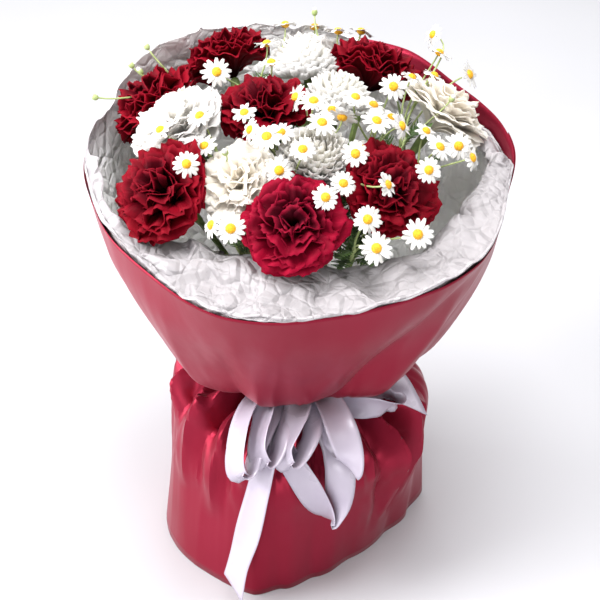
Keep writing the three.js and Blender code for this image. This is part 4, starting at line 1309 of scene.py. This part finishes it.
LOOP, TAIL = RibbonEnd.LOOP, RibbonEnd.TAIL
RIBBON_LENGTHS = (
    RibbonLength("ribbon_loop_far_left", LOOP, (
        (-6, -39, 163), (-22, -60, 172), (-36, -78, 175), (-46, -99, 167), (-49, -111, 156),
        (-49, -117, 145), (-46, -119, 138), (-41, -117, 141), (-37, -110, 152), (-31, -97, 165),
        (-21, -70, 170), (-5, -40, 161)),
        ((0.6, -0.5, 0.3), (0.55, -0.45, 0.45), (0.5, -0.4, 0.68), (0.5, -0.5, 0.6), (0.6, -0.5, 0.3))),
    RibbonLength("ribbon_loop_left", LOOP, (
        (-4, -40, 166), (-16, -62, 174), (-24, -82, 177), (-30, -103, 171), (-32, -115, 160),
        (-27, -119, 150), (-20, -114, 157), (-16, -100, 168), (-9, -70, 172), (-3, -41, 163)),
        ((0.7, -0.5, 0.2), (0.6, -0.5, 0.5), (0.5, -0.4, 0.65), (0.55, -0.5, 0.5), (0.7, -0.5, 0.2))),
    RibbonLength("ribbon_loop_middle", LOOP, (
        (0, -41, 168), (1, -64, 175), (2, -84, 178), (-5, -106, 173), (-12, -118, 162), (-9, -123, 152),
        (-1, -118, 157), (6, -103, 169), (6, -72, 173), (1, -42, 165)),
        ((0.8, -0.4, 0.2), (0.7, -0.45, 0.4), (0.55, -0.4, 0.65), (0.6, -0.5, 0.5), (0.8, -0.4, 0.2))),
    RibbonLength("ribbon_loop_right", LOOP, (
        (4, -40, 166), (14, -62, 174), (24, -82, 178), (32, -104, 173), (37, -116, 162), (39, -121, 151),
        (37, -119, 147), (34, -113, 150), (30, -107, 158), (26, -97, 167), (14, -70, 171), (4, -41, 163)),
        ((0.9, 0.2, 0.2), (0.9, 0.2, 0.2), (0.68, -0.4, -0.5), (0.8, -0.1, -0.2), (0.9, 0.2, 0.2)), skew=0.8),
    RibbonLength("ribbon_loop_long", LOOP, (
        (-2, -40, 158), (-10, -72, 162), (-13, -100, 156), (-2, -112, 140), (11, -113, 111), (22, -112, 90),
        (26, -112, 85), (28, -114, 99), (31, -116, 122), (31, -113, 142), (27, -96, 154), (14, -68, 160),
        (2, -40, 157)),
        ((1, 0, 0), (0.8, -0.2, 0.3), (0.75, -0.2, 0.4), (0.1, -0.85, 0.5), (0.75, -0.2, -0.1),
         (0.8, -0.1, -0.2), (1, 0, 0)), skew=0.3),
    RibbonLength("ribbon_loop_far_right", LOOP, (
        (5, -39, 164), (22, -52, 165), (38, -62, 166), (53, -67, 167), (66, -67, 165), (74, -63, 163),
        (77, -58, 163), (73, -54, 165), (63, -53, 167), (50, -52, 168), (36, -48, 167), (20, -42, 165),
        (6, -37, 166)),
        ((0.3, 0.3, 0.8), (0, -0.1, 1), (0.2, -0.7, 0.5), (0, 0, 1), (0.3, 0.3, 0.8))),
    RibbonLength("ribbon_tail_left", TAIL, (
        (-4, -40, 157), (-16, -80, 158), (-26, -107, 149), (-32, -115, 120), (-41, -118, 79), (-49, -121, 47),
        (-56, -125, 14)),
        ((1, -0.1, 0), (0.9, -0.3, 0.2), (0.7, -0.6, 0.2), (0.65, -0.7, 0.1), (0.75, -0.6, 0.1),
         (0.6, -0.75, 0.1), (0.7, -0.6, 0)), slant=0.07),
    RibbonLength("ribbon_tail_right", TAIL, (
        (6, -38, 159), (30, -36, 168), (52, -35, 174), (66, -37, 175), (76, -42, 168), (84, -50, 157),
        (92, -59, 143)),
        ((0.3, 0.7, 0.3), (0.4, 0.5, 0.6), (0.6, 0.3, 0.6), (0.7, 0.3, 0.5), (0.7, 0.3, 0.5)), slant=0.3),
)


@dataclass
class RibbonTie:
    """The ribbon's band round the neck and its knot in front."""

    radius: float = 29.8
    half_height: float = 5.0
    height: float = 164
    knot: tuple[float, float, float] = (0, -37, 163)
    knot_size: tuple[float, float, float] = (10.5, 8.5, 8)

    def build(self) -> None:
        """Makes the band and the knot."""
        band = Surface()

        def place(across: float, along: float) -> Vector:
            """The band's point, with a few crushed folds along it."""
            angle = along * 360
            crush = 0.7 * cos(across * 7 + 2 * sin(radians(angle * 2))) + 0.3 * sin(across * 13)
            return polar(self.radius + crush, angle, self.height + across * self.half_height)

        band.weld(band.sheet(12, 96, place), 1e-3)
        band.finish("ribbon_band", [SATIN_RIBBON], "satin_ribbon", "satin_ribbon", 0.5)
        knot = Surface()
        made = bmesh.ops.create_uvsphere(knot.mesh, u_segments=32, v_segments=20, radius=1.0)
        for vert in made["verts"]:
            fold = 1 + 0.08 * sin(vert.co.x * 9 + vert.co.z * 3) + 0.05 * sin(vert.co.z * 14)
            vert.co = Vector(self.knot) + Vector(a * b for a, b in zip(vert.co * fold, self.knot_size))
        knot.finish("ribbon_knot", [SATIN_RIBBON], "satin_ribbon", "satin_ribbon")


@dataclass
class TwineWinding:
    """Twine wound round the stems under the paper."""

    radius: float = 21.0
    twine_radius: float = 0.85
    turns: int = 6
    turn_steps: int = 40
    low: float = 159.9
    high: float = 168.1

    def build(self) -> bpy.types.Object:
        """Makes the winding."""
        surface = Surface()
        steps = self.turns * self.turn_steps
        path = [
            polar(self.radius, 360 * k / self.turn_steps, mix(self.low, self.high, k / steps))
            for k in range(steps + 1)
        ]
        surface.tube(path, lambda share: self.twine_radius, 8)
        return surface.finish("binding_twine_winding", [TWINE], "binding_twine", "twine")


# ---------------------------------------------------------------- the studio


@dataclass
class Studio:
    """A pale floor, soft light with the key from the left, and the camera."""

    camera_height: float = 1015
    camera_back: float = 1128
    camera_pitch: float = 54.9
    lens: float = 102

    def build(self) -> None:
        """Sets the floor, the lights and the camera."""
        self.floor()
        self.lights()
        self.camera()

    def floor(self) -> None:
        """Lays the floor."""
        shader = Shader("studio_floor")
        grain = shader.noise(3, 2)
        base = shader.blend(shader.level(grain, 0.3, 0.7), colour("c4c4c8"), colour("c0c0c4"))
        mesh = bmesh.new()
        bmesh.ops.create_grid(mesh, x_segments=1, y_segments=1, size=6.0)
        data = bpy.data.meshes.new("studio_floor")
        mesh.to_mesh(data)
        mesh.free()
        data.materials.append(shader.surface(Base_Color=base, Roughness=0.6, Specular_IOR_Level=0.2))
        put("studio_floor", data)

    def lights(self) -> None:
        """Sets a bright surround and five soft lamps."""
        world = bpy.data.worlds.new("studio")
        world.use_nodes = True
        world.node_tree.nodes["Background"].inputs["Color"].default_value = colour("ffffff")
        world.node_tree.nodes["Background"].inputs["Strength"].default_value = 0.7
        bpy.context.scene.world = world
        self.lamp("key", (-1.2, -0.5, 1.5), 27, 0.7)
        self.lamp("side", (-1.5, 0.0, 0.45), 24, 1.0)
        self.lamp("front", (-0.2, -1.5, 0.45), 7, 0.8)
        self.lamp("top", (0.1, -0.2, 1.75), 26, 0.8)
        self.lamp("rim", (0.1, 1.2, 1.3), 7, 0.8)

    def lamp(self, name: str, place: tuple[float, float, float], power: float, size: float) -> None:
        """Sets a square lamp that faces the bunch.

        Args:
            name: the lamp's name.
            place: its place in metres.
            power: its power in watts.
            size: its side in metres.
        """
        data = bpy.data.lights.new(name, "AREA")
        data.energy, data.size = power, size
        lamp = put(name, data)
        lamp.location = place
        lamp.rotation_euler = (Vector((0, 0, 0.25)) - lamp.location).to_track_quat("-Z", "Y").to_euler()

    def camera(self) -> None:
        """Sets the camera."""
        data = bpy.data.cameras.new("camera")
        data.lens, data.sensor_width = self.lens, 36
        camera = put("camera", data)
        camera.location = (Vector((0, -self.camera_back, self.camera_height)) + TIE_AXIS) * MM
        camera.rotation_euler = (radians(self.camera_pitch), 0, 0)
        bpy.context.scene.camera = camera


def main() -> None:
    """Builds the bunch from the paper inwards."""
    logging.basicConfig(level=logging.INFO, format="%(message)s")
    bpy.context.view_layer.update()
    bpy.context.scene.view_settings.view_transform = "Standard"
    WrapSheet("outer_wrap_front", Side.FRONT, 1.75).build()
    WrapSheet("outer_wrap_back", Side.BACK, 0.35).build()
    TissueSheet("tissue_front", 225, 148, 3.4, 140, 33).build()
    TissueSheet("tissue_back", -13, 282, 4.8, 260).build()
    for bloom in BLOOMS:
        bloom.press_between(BLOOMS)
        bloom.build()
        BloomStem(bloom).build()
    for spray in SPRAYS:
        spray.build()
    for length in RIBBON_LENGTHS:
        length.build()
    RibbonTie().build()
    TwineWinding().build()
    Studio().build()
    bpy.context.view_layer.update()


if __name__ == "__main__":
    main()
